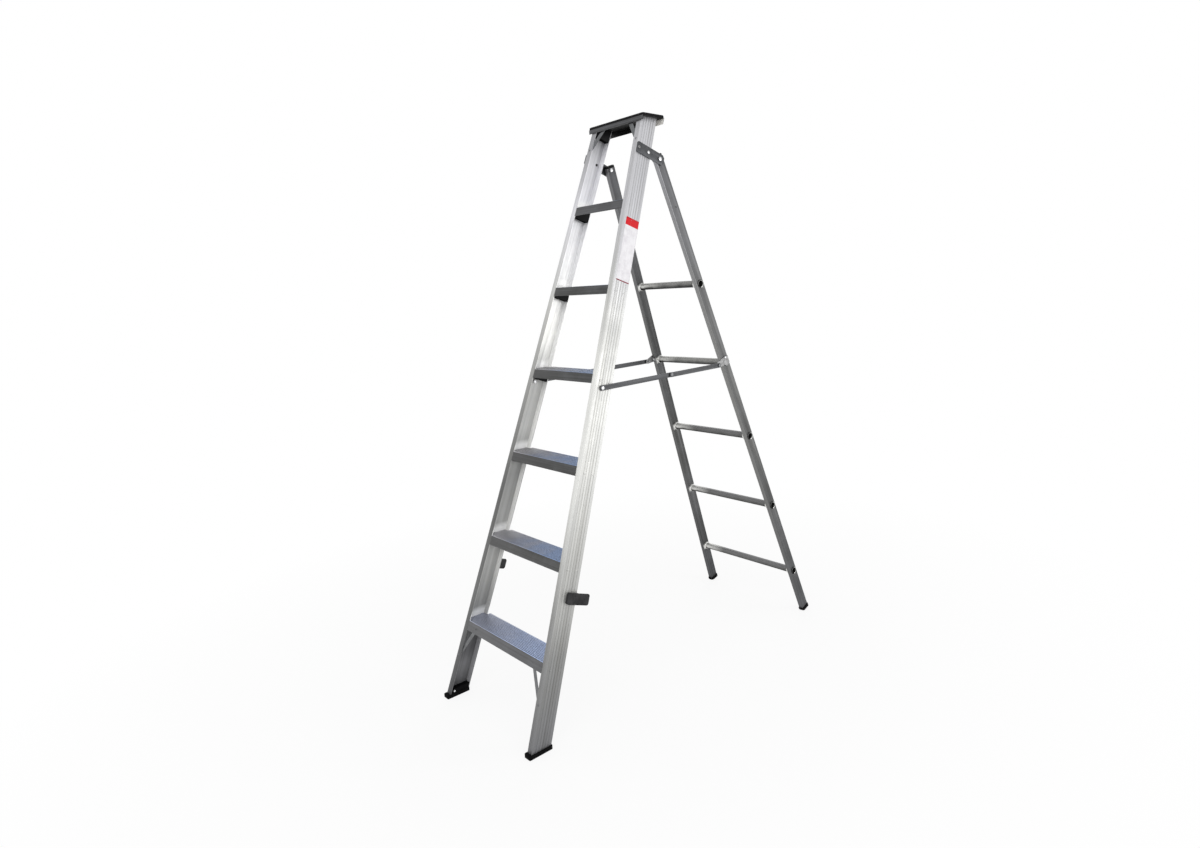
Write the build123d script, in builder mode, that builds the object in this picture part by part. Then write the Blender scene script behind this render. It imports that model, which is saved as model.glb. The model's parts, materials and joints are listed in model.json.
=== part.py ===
from build123d import *
from math import atan2, degrees, hypot, sqrt
import os

# Free-standing aluminium step ladder, set open. Millimetres. X runs across the ladder, the
# treads face -Y and Z is up; the origin lies on the floor under the middle of the open ladder.

# Overall form
ladder_height = 2080.0  # floor to the top of the platform pad
base_width = 546.0  # across the outer faces of the stiles at the floor
top_width = 276.0  # across the outer faces of the stiles at ladder_height
front_run = 742.0  # how far back the stiles lean between the floor and ladder_height
rear_run = 660.0  # how far back the rear rails reach between the hinge and the floor
rear_spread = 13.0  # by which the rear rails stand wider than the stiles at the floor

# Stile extrusion, a channel open towards the middle of the ladder
stile_depth = 72.0
stile_flange = 25.0
web_thickness = 2.2
flange_thickness = 2.5
stile_corner = 1.2
groove_count = 5
groove_pitch = 11.0
groove_width = 2.4
groove_depth = 0.5

# Treads
step_count = 6
step_pitch = 300.0
first_step_height = 271.0
tread_depth = 88.0
tread_thickness = 2.4
tread_rib_count = 13
tread_rib_pitch = 6.2
tread_rib_width = 2.6
tread_rib_height = 1.0
lip_height = 32.0
lip_thickness = 3.0
nose_radius = 2.4
rear_lip_height = 7.0
keel_count = 2
keel_pitch = 29.0
keel_height = 9.0
keel_thickness = 2.0

# Moulded brackets under the treads and the platform
bracket_wall = 3.0
seat_gap = 0.2  # play between a moulding or tread and the channel it sits in

# Play around a bolt in its hole
hole_gap = 0.1

# Platform
pad_thickness = 9.0
pad_overhang = 1.0
pad_edge = 3.0
pad_corner = 6.0
pad_groove_count = 8
pad_groove_pitch = 11.0
pad_groove_width = 4.0
pad_groove_depth = 1.2
pad_groove_border = 10.0
cap_width = 306.0
cap_depth = 109.0
cap_front_lip = 16.0
cap_rear_lip = 24.0
cap_thickness = 2.5
cap_gap = 0.3  # between the front lip of the platform and the stiles

# Braces
brace_thickness = 2.0
brace_corner = 4.0
step_brace_width = 14.0
step_brace_height = 151.0  # of its lower end
step_brace_drop = 16.0  # of its upper end below the top of the lowest tread
step_brace_reach = 70.0
top_brace_width = 18.0
top_brace_drop = 78.0  # from the platform down to its lower end
top_brace_reach = 62.0
top_brace_tab = 24.0

# Front shoes
sole_thickness = 13.0
sole_margin = 3.0  # to the side of the stile
sole_toe = 6.0  # in front of the stile
sole_heel = 7.0  # behind the stile
sole_corner = 2.5
shoe_height = 30.0
tread_cut_count = 4
tread_cut_pitch = 18.0
tread_cut_width = 6.0
tread_cut_depth = 2.0
tread_cut_border = 4.0

# Hinge
hinge_drop = 116.3  # below the top of the stile, along it
hinge_across = 114.0  # behind the front edge of the stile
hinge_gap = 2.2  # between the hinge plate and the rear rail
plate_thickness = 4.0
plate_height = 40.0
plate_corner = 4.0
plate_end = 22.0  # behind the pivot
plate_end_corner = 9.0
pivot_radius = 5.0
pivot_head_radius = 8.0
pivot_head_height = 3.5
pivot_nut_gap = 1.2
nut_radius = 7.5
nut_height = 7.0
running_fit = 0.08

# Closing guides
guide_along = 498.0
guide_front = 30.0
guide_length = 90.0
guide_height = 38.0
guide_corner = 8.0
guide_recess = 6.5  # how far the tongue stands off the plane of the stile
guide_tongue = 4.0
guide_shoulder = 1.5  # block carried past the rear edge of the stile

# Rear rails
rail_depth = 40.0
rail_width = 20.0
rail_setback = 8.0  # of the middle of the rail behind the hinge pivot
rail_wall = 1.6
rail_corner = 3.0
rail_top = 12.0  # above the level of the hinge pivot
plug_head = 9.0
plug_edge = 2.5
plug_spigot = 2.5
boot_wall = 3.0
boot_collar = 8.0  # around the end of the rail
boot_sole = 5.0  # under the end of the rail
boot_flat = 11.0  # length that stands on the floor
boot_corner = 4.0
boot_fit = 0.1

# Rungs
rung_count = 5
lowest_rung_rise = 197.279031  # up the rail from its lower end
rung_pitch = 335.0
rung_radius = 13.5
rung_wall = 1.6
rung_proud = 2.0  # past the outer faces of the rails
rung_fit = 0.1

# Spreaders
stud_step_count = 4  # treads from the floor to the one just above the studs
stud_drop = 9.5  # below the foot of its bracket
stud_across = 27.7
ear_rung_count = 4  # rungs from the floor to the one behind the brackets
ear_rise = 9.0  # of the middle of a bracket over that rung, along the rail
ear_reach = 49.8
ear_radius = 10.0
ear_thickness = 3.0
ear_height = 30.0
ear_margin = 2.0  # from the edges of the rail
ear_spacing = 2.4  # between the bracket and the rear bar
rung_relief = 1.5
bar_height = 18.0
bar_thickness = 3.0
bar_corner = 5.0
bar_gap = 0.3  # between the two bars of a spreader
front_bar_length = 334.0
stud_radius = 4.0
stud_head_radius = 7.0
stud_head_height = 3.0
stud_play = 0.2
pin_recess = 0.5  # of a pin in the inner face of its bracket

os.makedirs("parts", exist_ok=True)

# Directions of the right stile: up along it, straight out of its web, and back across it
flare = (base_width - top_width) / 2 / ladder_height
lean = front_run / ladder_height
stile_axis = Vector(-flare, lean, 1).normalized()
outward = Vector(1, 0, flare).normalized()
depth_axis = stile_axis.cross(outward)
front_normal = Vector(0, -1, lean).normalized()

# Place of the hinge under the platform
cap_top = ladder_height - pad_thickness
cap_underside = cap_top - cap_thickness
hinge_along = cap_underside / stile_axis.Z - hinge_drop

# Directions of the right rear rail: down along it, straight out of its side, and back across it
hinge_height = stile_axis.Z * hinge_along + depth_axis.Z * hinge_across
hinge_back = stile_axis.Y * hinge_along + depth_axis.Y * hinge_across
hinge_half = base_width / 2 - flare * hinge_height
rail_half = hinge_half - hinge_gap
rear_lean = rear_run / hinge_height
rear_flare = ((base_width + rear_spread) / 2 - rail_half) / hinge_height
rail_axis = Vector(rear_flare, rear_lean, -1).normalized()
rail_outward = Vector(1, 0, rear_flare).normalized()
rail_back = rail_outward.cross(rail_axis)

# Floor plan, centred on the origin
boot_half = rail_depth / 2 + boot_wall
boot_dip = boot_flat * rail_back.Z * -rail_axis.Z  # of its front edge, before the flat is cut
boot_end = (hinge_height - boot_half * rail_back.Z + boot_dip) / -rail_axis.Z
rail_end = boot_end - boot_sole
boot_heel = boot_end * rail_axis.Y + boot_half * rail_back.Y
overall_depth = sole_toe + hinge_back + rail_setback + boot_heel
front_y = sole_toe - overall_depth / 2

stile_origin = Vector(base_width / 2, front_y, 0)
hinge_point = Vector(hinge_half, front_y + hinge_back, hinge_height)
rail_origin = Vector(rail_half, front_y + hinge_back + rail_setback, hinge_height)
long_reach = 1.25 * ladder_height
wide_reach = 2 * stile_depth

# Platform levels
cap_foot = cap_top - cap_rear_lip
cap_front_foot = cap_top - cap_front_lip
cap_lip_run = cap_thickness * sqrt(1 + lean**2)  # of the leaning rear lip, along Y
cap_front = front_y + lean * cap_front_foot - cap_gap - cap_thickness

# Inside of the channel
inner_depth = stile_depth - 2 * (flange_thickness + seat_gap)
inner_flange = stile_flange - web_thickness - seat_gap
corner_seat = (flange_thickness + seat_gap, web_thickness + seat_gap)
on_corner = (Align.MIN, Align.MIN)


def front_at(height):
    """Y of the front faces of the stiles at a height."""
    return front_y + lean * height


def stile_point(across, along, inward=0.0):
    """Point on the right stile, measured from the front edge, the floor and the outer face."""
    return stile_origin + depth_axis * across + stile_axis * along - outward * inward


def web_plane(across, along, inward=0.0):
    """Plane parallel to the outer face of the right stile; X runs back, Y runs up."""
    return Plane(stile_point(across, along, inward), x_dir=depth_axis, z_dir=outward)


def section_plane(along):
    """Plane square to the right stile; X runs back, Y runs inwards."""
    return Plane(stile_point(0, along), x_dir=depth_axis, z_dir=stile_axis)


def rail_point(along, back=0.0, inward=0.0):
    """Point on the right rear rail, measured from the hinge pivot and the outer face."""
    return rail_origin + rail_axis * along + rail_back * back - rail_outward * inward


def rail_plane(along, back=0.0, inward=0.0):
    """Plane parallel to the outer face of the right rear rail; X runs back, Y runs up."""
    return Plane(rail_point(along, back, inward), x_dir=rail_back, z_dir=rail_outward)


def rail_section(along):
    """Plane square to the right rear rail, centred in it; X runs back, Y runs outwards."""
    centre = rail_point(along, 0, rail_width / 2)
    return Plane(centre, x_dir=rail_back, z_dir=rail_axis)


def across_at(point):
    """Placement whose Z axis runs along +X through a point."""
    return Location(tuple(point), (0, 90, 0))


def save(piece, name):
    """Label a piece and write it out."""
    piece.label = name
    export_step(piece, f"parts/{name}.step")


def save_pair(piece, name, suffix=""):
    """Write out a right-hand piece and its mirror image."""
    save(piece, f"{name}_right{suffix}")
    save(mirror(piece, about=Plane.YZ), f"{name}_left{suffix}")


# Levels of the treads and the feet of their brackets
step_tops = [first_step_height + step_pitch * number for number in range(step_count)]
step_seats = [top - tread_rib_height - tread_thickness for top in step_tops]
bracket_feet = [(top - lip_height) / stile_axis.Z for top in step_tops]
cap_bracket_foot = cap_foot / stile_axis.Z
rung_alongs = [rail_end - lowest_rung_rise - rung_pitch * number for number in range(rung_count)]
ear_along = rung_alongs[ear_rung_count - 1] - ear_rise

guide_face = guide_recess + guide_tongue

# Braces lie in a leaning plane just behind the front flanges
flange_back = flange_thickness * depth_axis.dot(-front_normal) + stile_flange * outward.dot(front_normal)
brace_origin = Vector(0, front_y, 0) - front_normal * flange_back
brace_plane = Plane(tuple(brace_origin), x_dir=(1, 0, 0), z_dir=tuple(front_normal))
slope_length = sqrt(1 + lean**2)  # along the leaning plane per unit of height


def flange_middle(height):
    """X of the middle of the right front flange at a height."""
    return base_width / 2 - flare * height - stile_flange / 2


step_brace_foot = (flange_middle(step_brace_height), step_brace_height)
step_brace_head = (step_brace_foot[0] - step_brace_reach, first_step_height - step_brace_drop)
top_brace_height = cap_underside - top_brace_drop
top_brace_foot = (flange_middle(top_brace_height), top_brace_height)
top_brace_head = (top_brace_foot[0] - top_brace_reach, cap_underside)

# Spreader pivots and the two slabs in which the bars swing
stud_along = bracket_feet[stud_step_count - 1] - stud_drop
stud_point = stile_point(stud_across, stud_along)
ear_point = rail_point(ear_along, -ear_reach)
rear_bar_x = ear_point.X + ear_thickness / rail_outward.X + ear_spacing
front_bar_x = rear_bar_x - bar_gap - bar_thickness
spreader_length = hypot(ear_point.Y - stud_point.Y, ear_point.Z - stud_point.Z)
rear_bar_length = spreader_length - front_bar_length
bar_direction = Vector(0, ear_point.Y - stud_point.Y, ear_point.Z - stud_point.Z).normalized()

# Right stile, drilled for the stud of the spreader
with BuildPart() as stile:
    with BuildSketch(section_plane(0)) as channel:
        Rectangle(stile_depth, stile_flange, align=on_corner)
        chamfer(channel.vertices().group_by(Axis.Y)[0], stile_corner)
        with Locations((flange_thickness, web_thickness)):
            Rectangle(stile_depth - 2 * flange_thickness, stile_flange, align=on_corner, mode=Mode.SUBTRACT)
        with Locations((stile_depth / 2, 0)):
            with GridLocations(groove_pitch, groove_pitch, groove_count, 1):
                Rectangle(groove_width, 2 * groove_depth, mode=Mode.SUBTRACT)
    extrude(amount=long_reach, both=True)
    split(bisect_by=Plane.XY.offset(sole_thickness), keep=Keep.TOP)
    split(bisect_by=Plane.XY.offset(cap_underside), keep=Keep.BOTTOM)
    with Locations(across_at(stud_point)):
        Cylinder(stud_radius + hole_gap, 3 * web_thickness, mode=Mode.SUBTRACT)
save_pair(stile.part, "stile")

# Room taken up by the stiles: all of it, and all but the inside of the channels
with BuildPart() as stile_room:
    with BuildSketch(section_plane(0)):
        with Locations((-wide_reach, stile_flange + seat_gap)):
            Rectangle(2 * wide_reach, wide_reach, align=(Align.MIN, Align.MAX))
    extrude(amount=long_reach, both=True)
    mirror(about=Plane.YZ)

with BuildPart() as channel_room:
    with BuildSketch(section_plane(0)):
        with Locations((-wide_reach, stile_flange + seat_gap)):
            Rectangle(2 * wide_reach, wide_reach, align=(Align.MIN, Align.MAX))
        with Locations(corner_seat):
            Rectangle(inner_depth, 2 * stile_flange, align=on_corner, mode=Mode.SUBTRACT)
    extrude(amount=long_reach, both=True)
    mirror(about=Plane.YZ)


def make_step(top):
    """Tread with a leaning front lip; its deck runs into the channels, its skirts stop short."""
    front = front_at(top)
    foot = top - lip_height
    lip_run = lip_thickness * slope_length
    underside = top - tread_rib_height - tread_thickness
    half = base_width / 2 - flare * foot
    with BuildPart() as step:
        with BuildSketch(Plane.YZ) as skirts:
            with BuildLine():
                Polyline(
                    (front, top),
                    (front_at(foot), foot),
                    (front_at(foot) + lip_run, foot),
                    (front + lip_run, top),
                    close=True,
                )
            make_face()
            fillet(skirts.vertices().group_by(Axis.Y)[-1].sort_by(Axis.X)[0], nose_radius)
            with Locations((front + tread_depth, top - tread_rib_height)):
                Rectangle(lip_thickness, rear_lip_height, align=(Align.MAX, Align.MAX))
            with Locations((front + tread_depth / 2, underside)):
                with GridLocations(keel_pitch, keel_pitch, keel_count, 1):
                    Rectangle(keel_thickness, keel_height, align=(Align.CENTER, Align.MAX))
        extrude(amount=half, both=True)
        add(stile_room.part, mode=Mode.SUBTRACT)
        with BuildSketch(Plane.YZ):
            with Locations((front + lip_run / 2, top - tread_rib_height)):
                Rectangle(tread_depth - lip_run / 2, tread_thickness, align=(Align.MIN, Align.MAX))
            with Locations((front + (tread_depth + lip_run) / 2, top)):
                with GridLocations(tread_rib_pitch, tread_rib_pitch, tread_rib_count, 1):
                    Rectangle(tread_rib_width, tread_rib_height, align=(Align.CENTER, Align.MAX))
        extrude(amount=half, both=True)
        add(channel_room.part, mode=Mode.SUBTRACT)
    return step.part


def make_bracket(foot, seat):
    """Moulded block in the right channel, open below, square to the stile at its foot."""
    with BuildPart() as bracket:
        with BuildSketch(section_plane(foot)):
            with Locations(corner_seat):
                Rectangle(inner_depth, inner_flange, align=on_corner)
        extrude(amount=seat - foot * stile_axis.Z + stile_depth)
        split(bisect_by=Plane.XY.offset(seat), keep=Keep.BOTTOM)
        open_face = bracket.faces().sort_by(Axis((0, 0, 0), tuple(stile_axis)))[0]
        offset(amount=-bracket_wall, openings=open_face)
    return bracket.part


for number in range(step_count):
    save(make_step(step_tops[number]), f"step_{number + 1}")
    save_pair(make_bracket(bracket_feet[number], step_seats[number]), "step_bracket", f"_{number + 1}")
save_pair(make_bracket(cap_bracket_foot, cap_underside), "cap_bracket")

# Platform: a folded channel open below, its rear lip parallel to the stiles, and the pad on it
cap_back = cap_front + cap_depth
with BuildPart() as top_cap:
    with BuildSketch(Plane.YZ):
        with BuildLine():
            Polyline(
                (cap_front, cap_top),
                (cap_front, cap_front_foot),
                (cap_front + cap_thickness, cap_front_foot),
                (cap_front + cap_thickness, cap_underside),
                (cap_back - lean * cap_thickness - cap_lip_run, cap_underside),
                (cap_back - lean * cap_rear_lip - cap_lip_run, cap_foot),
                (cap_back - lean * cap_rear_lip, cap_foot),
                (cap_back, cap_top),
                close=True,
            )
        make_face()
    extrude(amount=cap_width / 2, both=True)
save(top_cap.part, "top_cap")

pad_middle = (0, cap_front + cap_depth / 2)
pad_width = cap_width + 2 * pad_overhang
with BuildPart() as top_pad:
    with BuildSketch(Plane.XY.offset(cap_top)) as pad_outline:
        with Locations(pad_middle):
            Rectangle(pad_width, cap_depth + 2 * pad_overhang)
        chamfer(pad_outline.vertices(), pad_corner)
    extrude(amount=pad_thickness)
    chamfer(top_pad.faces().sort_by(Axis.Z)[-1].edges(), pad_edge)
    with BuildSketch(Plane.XY.offset(ladder_height)):
        with Locations(pad_middle):
            with GridLocations(pad_groove_pitch, pad_groove_pitch, 1, pad_groove_count):
                Rectangle(pad_width - 2 * pad_groove_border, pad_groove_width)
    extrude(amount=-pad_groove_depth, mode=Mode.SUBTRACT)
save(top_pad.part, "top_pad")

# Flat knee braces between the lowest tread and the stiles
brace_run = Vector(-step_brace_reach, (step_brace_head[1] - step_brace_foot[1]) * slope_length)
with BuildPart() as step_brace:
    with BuildSketch(brace_plane) as strap:
        with Locations(
            (
                (step_brace_foot[0] + step_brace_head[0]) / 2,
                (step_brace_foot[1] + step_brace_head[1]) / 2 * slope_length,
            )
        ):
            Rectangle(
                brace_run.length + step_brace_width,
                step_brace_width,
                rotation=degrees(atan2(brace_run.Y, brace_run.X)),
            )
        chamfer(strap.vertices(), brace_corner)
    extrude(amount=-brace_thickness)
save_pair(step_brace.part, "step_brace")

# Braces between the platform and the stiles, each with a tab bent under the platform
top_run = Vector(-top_brace_reach, top_brace_drop * slope_length)
tab_front = brace_origin.Y + lean * cap_underside
with BuildPart() as top_brace:
    with BuildSketch(brace_plane) as top_strap:
        with Locations(
            (
                (top_brace_foot[0] + top_brace_head[0]) / 2,
                (top_brace_foot[1] + top_brace_head[1]) / 2 * slope_length,
            )
        ):
            Rectangle(
                top_run.length + top_brace_width,
                top_brace_width,
                rotation=degrees(atan2(top_run.Y, top_run.X)),
            )
        chamfer(top_strap.vertices(), brace_corner)
    extrude(amount=-brace_thickness)
    split(bisect_by=Plane.XY.offset(cap_underside), keep=Keep.BOTTOM)
    with BuildSketch(Plane.XY.offset(cap_underside)):
        with Locations((top_brace_head[0], tab_front)):
            Rectangle(top_brace_width, top_brace_tab, align=(Align.CENTER, Align.MIN))
    extrude(amount=-brace_thickness)
save_pair(top_brace.part, "top_brace")

# Shoe: a plug in the channel and a sole with blind grooves
stile_run = stile_depth / depth_axis.Y
sole_length = sole_toe + stile_run + sole_heel
sole_width = stile_flange + 2 * sole_margin
sole_middle = (base_width / 2 - stile_flange / 2, front_y - sole_toe + sole_length / 2)
with BuildPart() as front_foot:
    with BuildSketch(section_plane(0)):
        with Locations(corner_seat):
            Rectangle(inner_depth, inner_flange, align=on_corner)
    extrude(amount=2 * stile_depth, both=True)
    split(bisect_by=Plane.XY.offset(sole_thickness), keep=Keep.TOP)
    split(bisect_by=Plane.XY.offset(shoe_height), keep=Keep.BOTTOM)
    with BuildSketch(Plane.XY) as sole_outline:
        with Locations(sole_middle):
            Rectangle(sole_width, sole_length)
        chamfer(sole_outline.vertices(), sole_corner)
    extrude(amount=sole_thickness)
    with BuildSketch(Plane.XY):
        with Locations(sole_middle):
            with GridLocations(tread_cut_pitch, tread_cut_pitch, 1, tread_cut_count):
                Rectangle(sole_width - 2 * tread_cut_border, tread_cut_width)
    extrude(amount=tread_cut_depth, mode=Mode.SUBTRACT)
save_pair(front_foot.part, "front_foot")

# Hinge plate, reaching back past the pivot
with BuildPart() as hinge_plate:
    with BuildSketch(web_plane(0, hinge_along)) as plate_outline:
        Rectangle(hinge_across + plate_end, plate_height, align=(Align.MIN, Align.CENTER))
        chamfer(plate_outline.vertices().group_by(Axis.X)[0], plate_corner)
        chamfer(plate_outline.vertices().group_by(Axis.X)[-1], plate_end_corner)
    extrude(amount=plate_thickness)
    with Locations(across_at(hinge_point)):
        Cylinder(pivot_radius + hole_gap, 4 * plate_thickness, mode=Mode.SUBTRACT)
save_pair(hinge_plate.part, "hinge_plate")

# Closing guide: a block on the web whose tongue passes outside the folded rail
with BuildPart() as closing_guide:
    with BuildSketch(web_plane(guide_front + guide_length / 2, guide_along)):
        RectangleRounded(guide_length, guide_height, guide_corner)
    extrude(amount=guide_face)
    with BuildSketch(web_plane(stile_depth + guide_shoulder, guide_along)):
        Rectangle(guide_length, 2 * guide_height, align=(Align.MIN, Align.CENTER))
    extrude(amount=guide_recess, mode=Mode.SUBTRACT)
save_pair(closing_guide.part, "closing_guide")


def cross_plane(x, point):
    """Plane facing outwards across the ladder at X, centred on a point."""
    return Plane((x, point.Y, point.Z), x_dir=(0, 1, 0), z_dir=(1, 0, 0))


def bolt(seat, radius, length, head_radius, head_height):
    """Shank running in from a seat, with a six-sided head standing on it."""
    with Locations(seat):
        Cylinder(radius, length, align=(Align.CENTER, Align.CENTER, Align.MAX))
    with BuildSketch(seat) as head:
        RegularPolygon(head_radius, 6)
    extrude(head.sketch, amount=head_height)


def nut(seat):
    """Six-sided nut running in from a seat."""
    with BuildSketch(seat) as hexagon:
        RegularPolygon(nut_radius, 6)
    extrude(hexagon.sketch, amount=-nut_height)


# Hinge pivots: head outside the plate, nut inside the rail
pivot_inner = hinge_half - hinge_gap - rail_width - pivot_nut_gap
pivot_outer = hinge_half + plate_thickness / outward.X + pivot_head_radius * flare
pivot_length = pivot_outer - pivot_inner + nut_height / 2
with BuildPart() as hinge_pivots:
    pivot_seat = cross_plane(pivot_outer, hinge_point)
    bolt(pivot_seat, pivot_radius, pivot_length, pivot_head_radius, pivot_head_height)
    nut(cross_plane(pivot_inner, hinge_point))
    mirror(about=Plane.YZ)
save(hinge_pivots.part, "hinge_pivots")

# Front face of the right rear rail at the spreader bracket; X runs outwards, Y runs down
ear_return_plane = Plane(
    rail_point(ear_along, -rail_depth / 2, rail_width / 2), x_dir=rail_outward, z_dir=-rail_back
)

# Rear rail, a rounded tube bored for the rungs
with BuildPart() as rear_rail:
    with BuildSketch(rail_section(-rail_top)):
        RectangleRounded(rail_depth, rail_width, rail_corner)
        Rectangle(rail_depth - 2 * rail_wall, rail_width - 2 * rail_wall, mode=Mode.SUBTRACT)
    extrude(amount=rail_top + rail_end)
    with Locations(*[across_at(rail_point(along)) for along in rung_alongs]):
        Cylinder(rung_radius + rung_fit, 3 * rail_width, mode=Mode.SUBTRACT)
    with Locations(across_at(hinge_point)):
        Cylinder(pivot_radius + running_fit, 3 * rail_width, mode=Mode.SUBTRACT)
save_pair(rear_rail.part, "rear_rail")

# Plug in the top of the rail
with BuildPart() as rail_plug:
    with BuildSketch(rail_section(-rail_top)) as plug_outline:
        Rectangle(rail_depth, rail_width)
        chamfer(plug_outline.vertices(), rail_corner)
    extrude(amount=-plug_head)
    top_face = rail_plug.faces().sort_by(Axis((0, 0, 0), tuple(rail_axis)))[0]
    chamfer(top_face.edges(), plug_edge)
    with BuildSketch(rail_section(-rail_top)):
        Rectangle(rail_depth - 2 * (rail_wall + seat_gap), rail_width - 2 * (rail_wall + seat_gap))
    extrude(amount=plug_spigot)
save_pair(rail_plug.part, "rail_plug")

# Boot around the square lower end of the rail, cut flat where it stands on the floor
with BuildPart() as rear_foot:
    with BuildSketch(rail_section(rail_end - boot_collar)) as boot_outline:
        Rectangle(rail_depth + 2 * boot_wall, rail_width + 2 * boot_wall)
        chamfer(boot_outline.vertices(), boot_corner)
    extrude(amount=boot_collar + boot_sole)
    with BuildSketch(rail_section(rail_end - boot_collar)):
        Rectangle(rail_depth + 2 * boot_fit, rail_width + 2 * boot_fit)
    extrude(amount=boot_collar, mode=Mode.SUBTRACT)
    split(bisect_by=Plane.XY, keep=Keep.TOP)
save_pair(rear_foot.part, "rear_foot")


def make_rung(along):
    """Tube through both rails, standing a little proud of them."""
    centre = rail_point(along)
    with BuildPart() as rung:
        with BuildSketch(Plane.YZ):
            with Locations((centre.Y, centre.Z)):
                Circle(rung_radius)
                Circle(rung_radius - rung_wall, mode=Mode.SUBTRACT)
        extrude(amount=centre.X + rung_proud, both=True)
    return rung.part


for number in range(rung_count):
    save(make_rung(rung_alongs[number]), f"rung_{number + 1}")

# Spreader bracket: a plate on the side of the rail with a return over its front face
with BuildPart() as spreader_bracket:
    with BuildSketch(rail_plane(ear_along)) as ear_outline:
        with Locations((-ear_reach, 0)):
            Circle(ear_radius)
        Rectangle(rail_depth - 2 * ear_margin, ear_height)
        make_hull()
        with Locations((0, -ear_rise)):
            Circle(rung_radius + rung_relief, mode=Mode.SUBTRACT)
    extrude(amount=ear_thickness)
    with BuildSketch(ear_return_plane):
        with Locations((rail_width / 2 + ear_thickness, 0)):
            Rectangle(rail_width + ear_thickness, ear_height / 2, align=(Align.MAX, Align.CENTER))
    extrude(amount=ear_thickness)
    with Locations(across_at(rail_point(ear_along, -ear_reach))):
        Cylinder(stud_radius + hole_gap, 6 * ear_thickness, mode=Mode.SUBTRACT)
save_pair(spreader_bracket.part, "spreader_bracket")

# Spreader bars, each in a slab of its own; the middle bolt's head and nut stand on their far faces
front_bar_plane = Plane(
    (front_bar_x, stud_point.Y, stud_point.Z), x_dir=tuple(bar_direction), z_dir=(1, 0, 0)
)
with BuildPart() as front_bar:
    with BuildSketch(front_bar_plane) as front_strap:
        with Locations((front_bar_length / 2, 0)):
            Rectangle(front_bar_length + bar_height, bar_height)
        chamfer(front_strap.vertices(), bar_corner)
        Circle(stud_radius + running_fit, mode=Mode.SUBTRACT)
    extrude(amount=bar_thickness)
    with BuildSketch(front_bar_plane):
        with Locations((front_bar_length, 0)):
            RegularPolygon(stud_head_radius, 6)
    extrude(amount=-stud_head_height)
save_pair(front_bar.part, "front_spreader_bar")

rear_bar_plane = Plane(
    (rear_bar_x, ear_point.Y, ear_point.Z), x_dir=tuple(bar_direction * -1), z_dir=(1, 0, 0)
)
with BuildPart() as rear_bar:
    with BuildSketch(rear_bar_plane) as rear_strap:
        with Locations((rear_bar_length / 2, 0)):
            Rectangle(rear_bar_length + bar_height, bar_height)
        chamfer(rear_strap.vertices(), bar_corner)
        Circle(stud_radius + running_fit, mode=Mode.SUBTRACT)
    extrude(amount=bar_thickness)
    with BuildSketch(rear_bar_plane.offset(bar_thickness)):
        with Locations((rear_bar_length, 0)):
            RegularPolygon(stud_head_radius, 6)
    extrude(amount=stud_head_height)
save_pair(rear_bar.part, "rear_spreader_bar")

# Studs on the stiles and pins on the rear brackets, on which the bars turn
stud_seat = front_bar_x + bar_thickness + stud_play
nut_seat = web_plane(stud_across, stud_along, web_thickness)
stud_length = stud_seat - stud_point.X + web_thickness + nut_height / 2
with BuildPart() as spreader_studs:
    bolt(cross_plane(stud_seat, stud_point), stud_radius, stud_length, stud_head_radius, stud_head_height)
    nut(nut_seat)
    mirror(about=Plane.YZ)
save(spreader_studs.part, "spreader_studs")

pin_seat = rear_bar_x + bar_thickness + stud_play
pin_length = pin_seat - ear_point.X - pin_recess
with BuildPart() as spreader_pins:
    bolt(cross_plane(pin_seat, ear_point), stud_radius, pin_length, stud_head_radius, stud_head_height)
    mirror(about=Plane.YZ)
save(spreader_pins.part, "spreader_pins")
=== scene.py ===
"""Looks of a folding aluminium step ladder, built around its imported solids."""

import json
import logging
import math
from dataclasses import dataclass
from enum import Enum
from typing import Callable, Iterable, Sequence

import bmesh
import bpy
from mathutils import Matrix, Vector

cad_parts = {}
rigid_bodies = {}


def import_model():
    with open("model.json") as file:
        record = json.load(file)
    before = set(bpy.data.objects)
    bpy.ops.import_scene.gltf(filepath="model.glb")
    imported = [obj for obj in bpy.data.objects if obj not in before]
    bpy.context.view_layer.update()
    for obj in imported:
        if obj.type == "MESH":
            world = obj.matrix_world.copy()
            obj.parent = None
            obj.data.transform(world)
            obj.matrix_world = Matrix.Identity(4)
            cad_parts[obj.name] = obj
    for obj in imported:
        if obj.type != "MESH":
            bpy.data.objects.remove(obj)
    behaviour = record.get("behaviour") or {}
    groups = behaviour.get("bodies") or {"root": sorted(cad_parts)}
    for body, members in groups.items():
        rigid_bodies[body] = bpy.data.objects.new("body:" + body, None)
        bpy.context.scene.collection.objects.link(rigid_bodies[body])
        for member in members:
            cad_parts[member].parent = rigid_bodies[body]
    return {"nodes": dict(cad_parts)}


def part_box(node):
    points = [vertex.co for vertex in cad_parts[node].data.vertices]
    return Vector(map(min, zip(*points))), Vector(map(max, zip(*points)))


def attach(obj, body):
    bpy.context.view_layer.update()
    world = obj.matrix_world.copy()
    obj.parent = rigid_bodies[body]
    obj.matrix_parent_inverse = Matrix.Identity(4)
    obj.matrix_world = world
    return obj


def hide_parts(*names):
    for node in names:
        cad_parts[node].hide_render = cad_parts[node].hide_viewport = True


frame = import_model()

logging.basicConfig(level=logging.INFO, format="%(message)s")
log = logging.getLogger("ladder")

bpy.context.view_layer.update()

Colour = tuple[float, float, float]
Triple = tuple[float, float, float]
Pair = tuple[float, float]
Levels = tuple[tuple[float, Colour], ...]
Piece = bpy.types.Object
Material = bpy.types.Material
Socket = bpy.types.NodeSocket
FaceTest = Callable[[Vector, Vector], bool]

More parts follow.
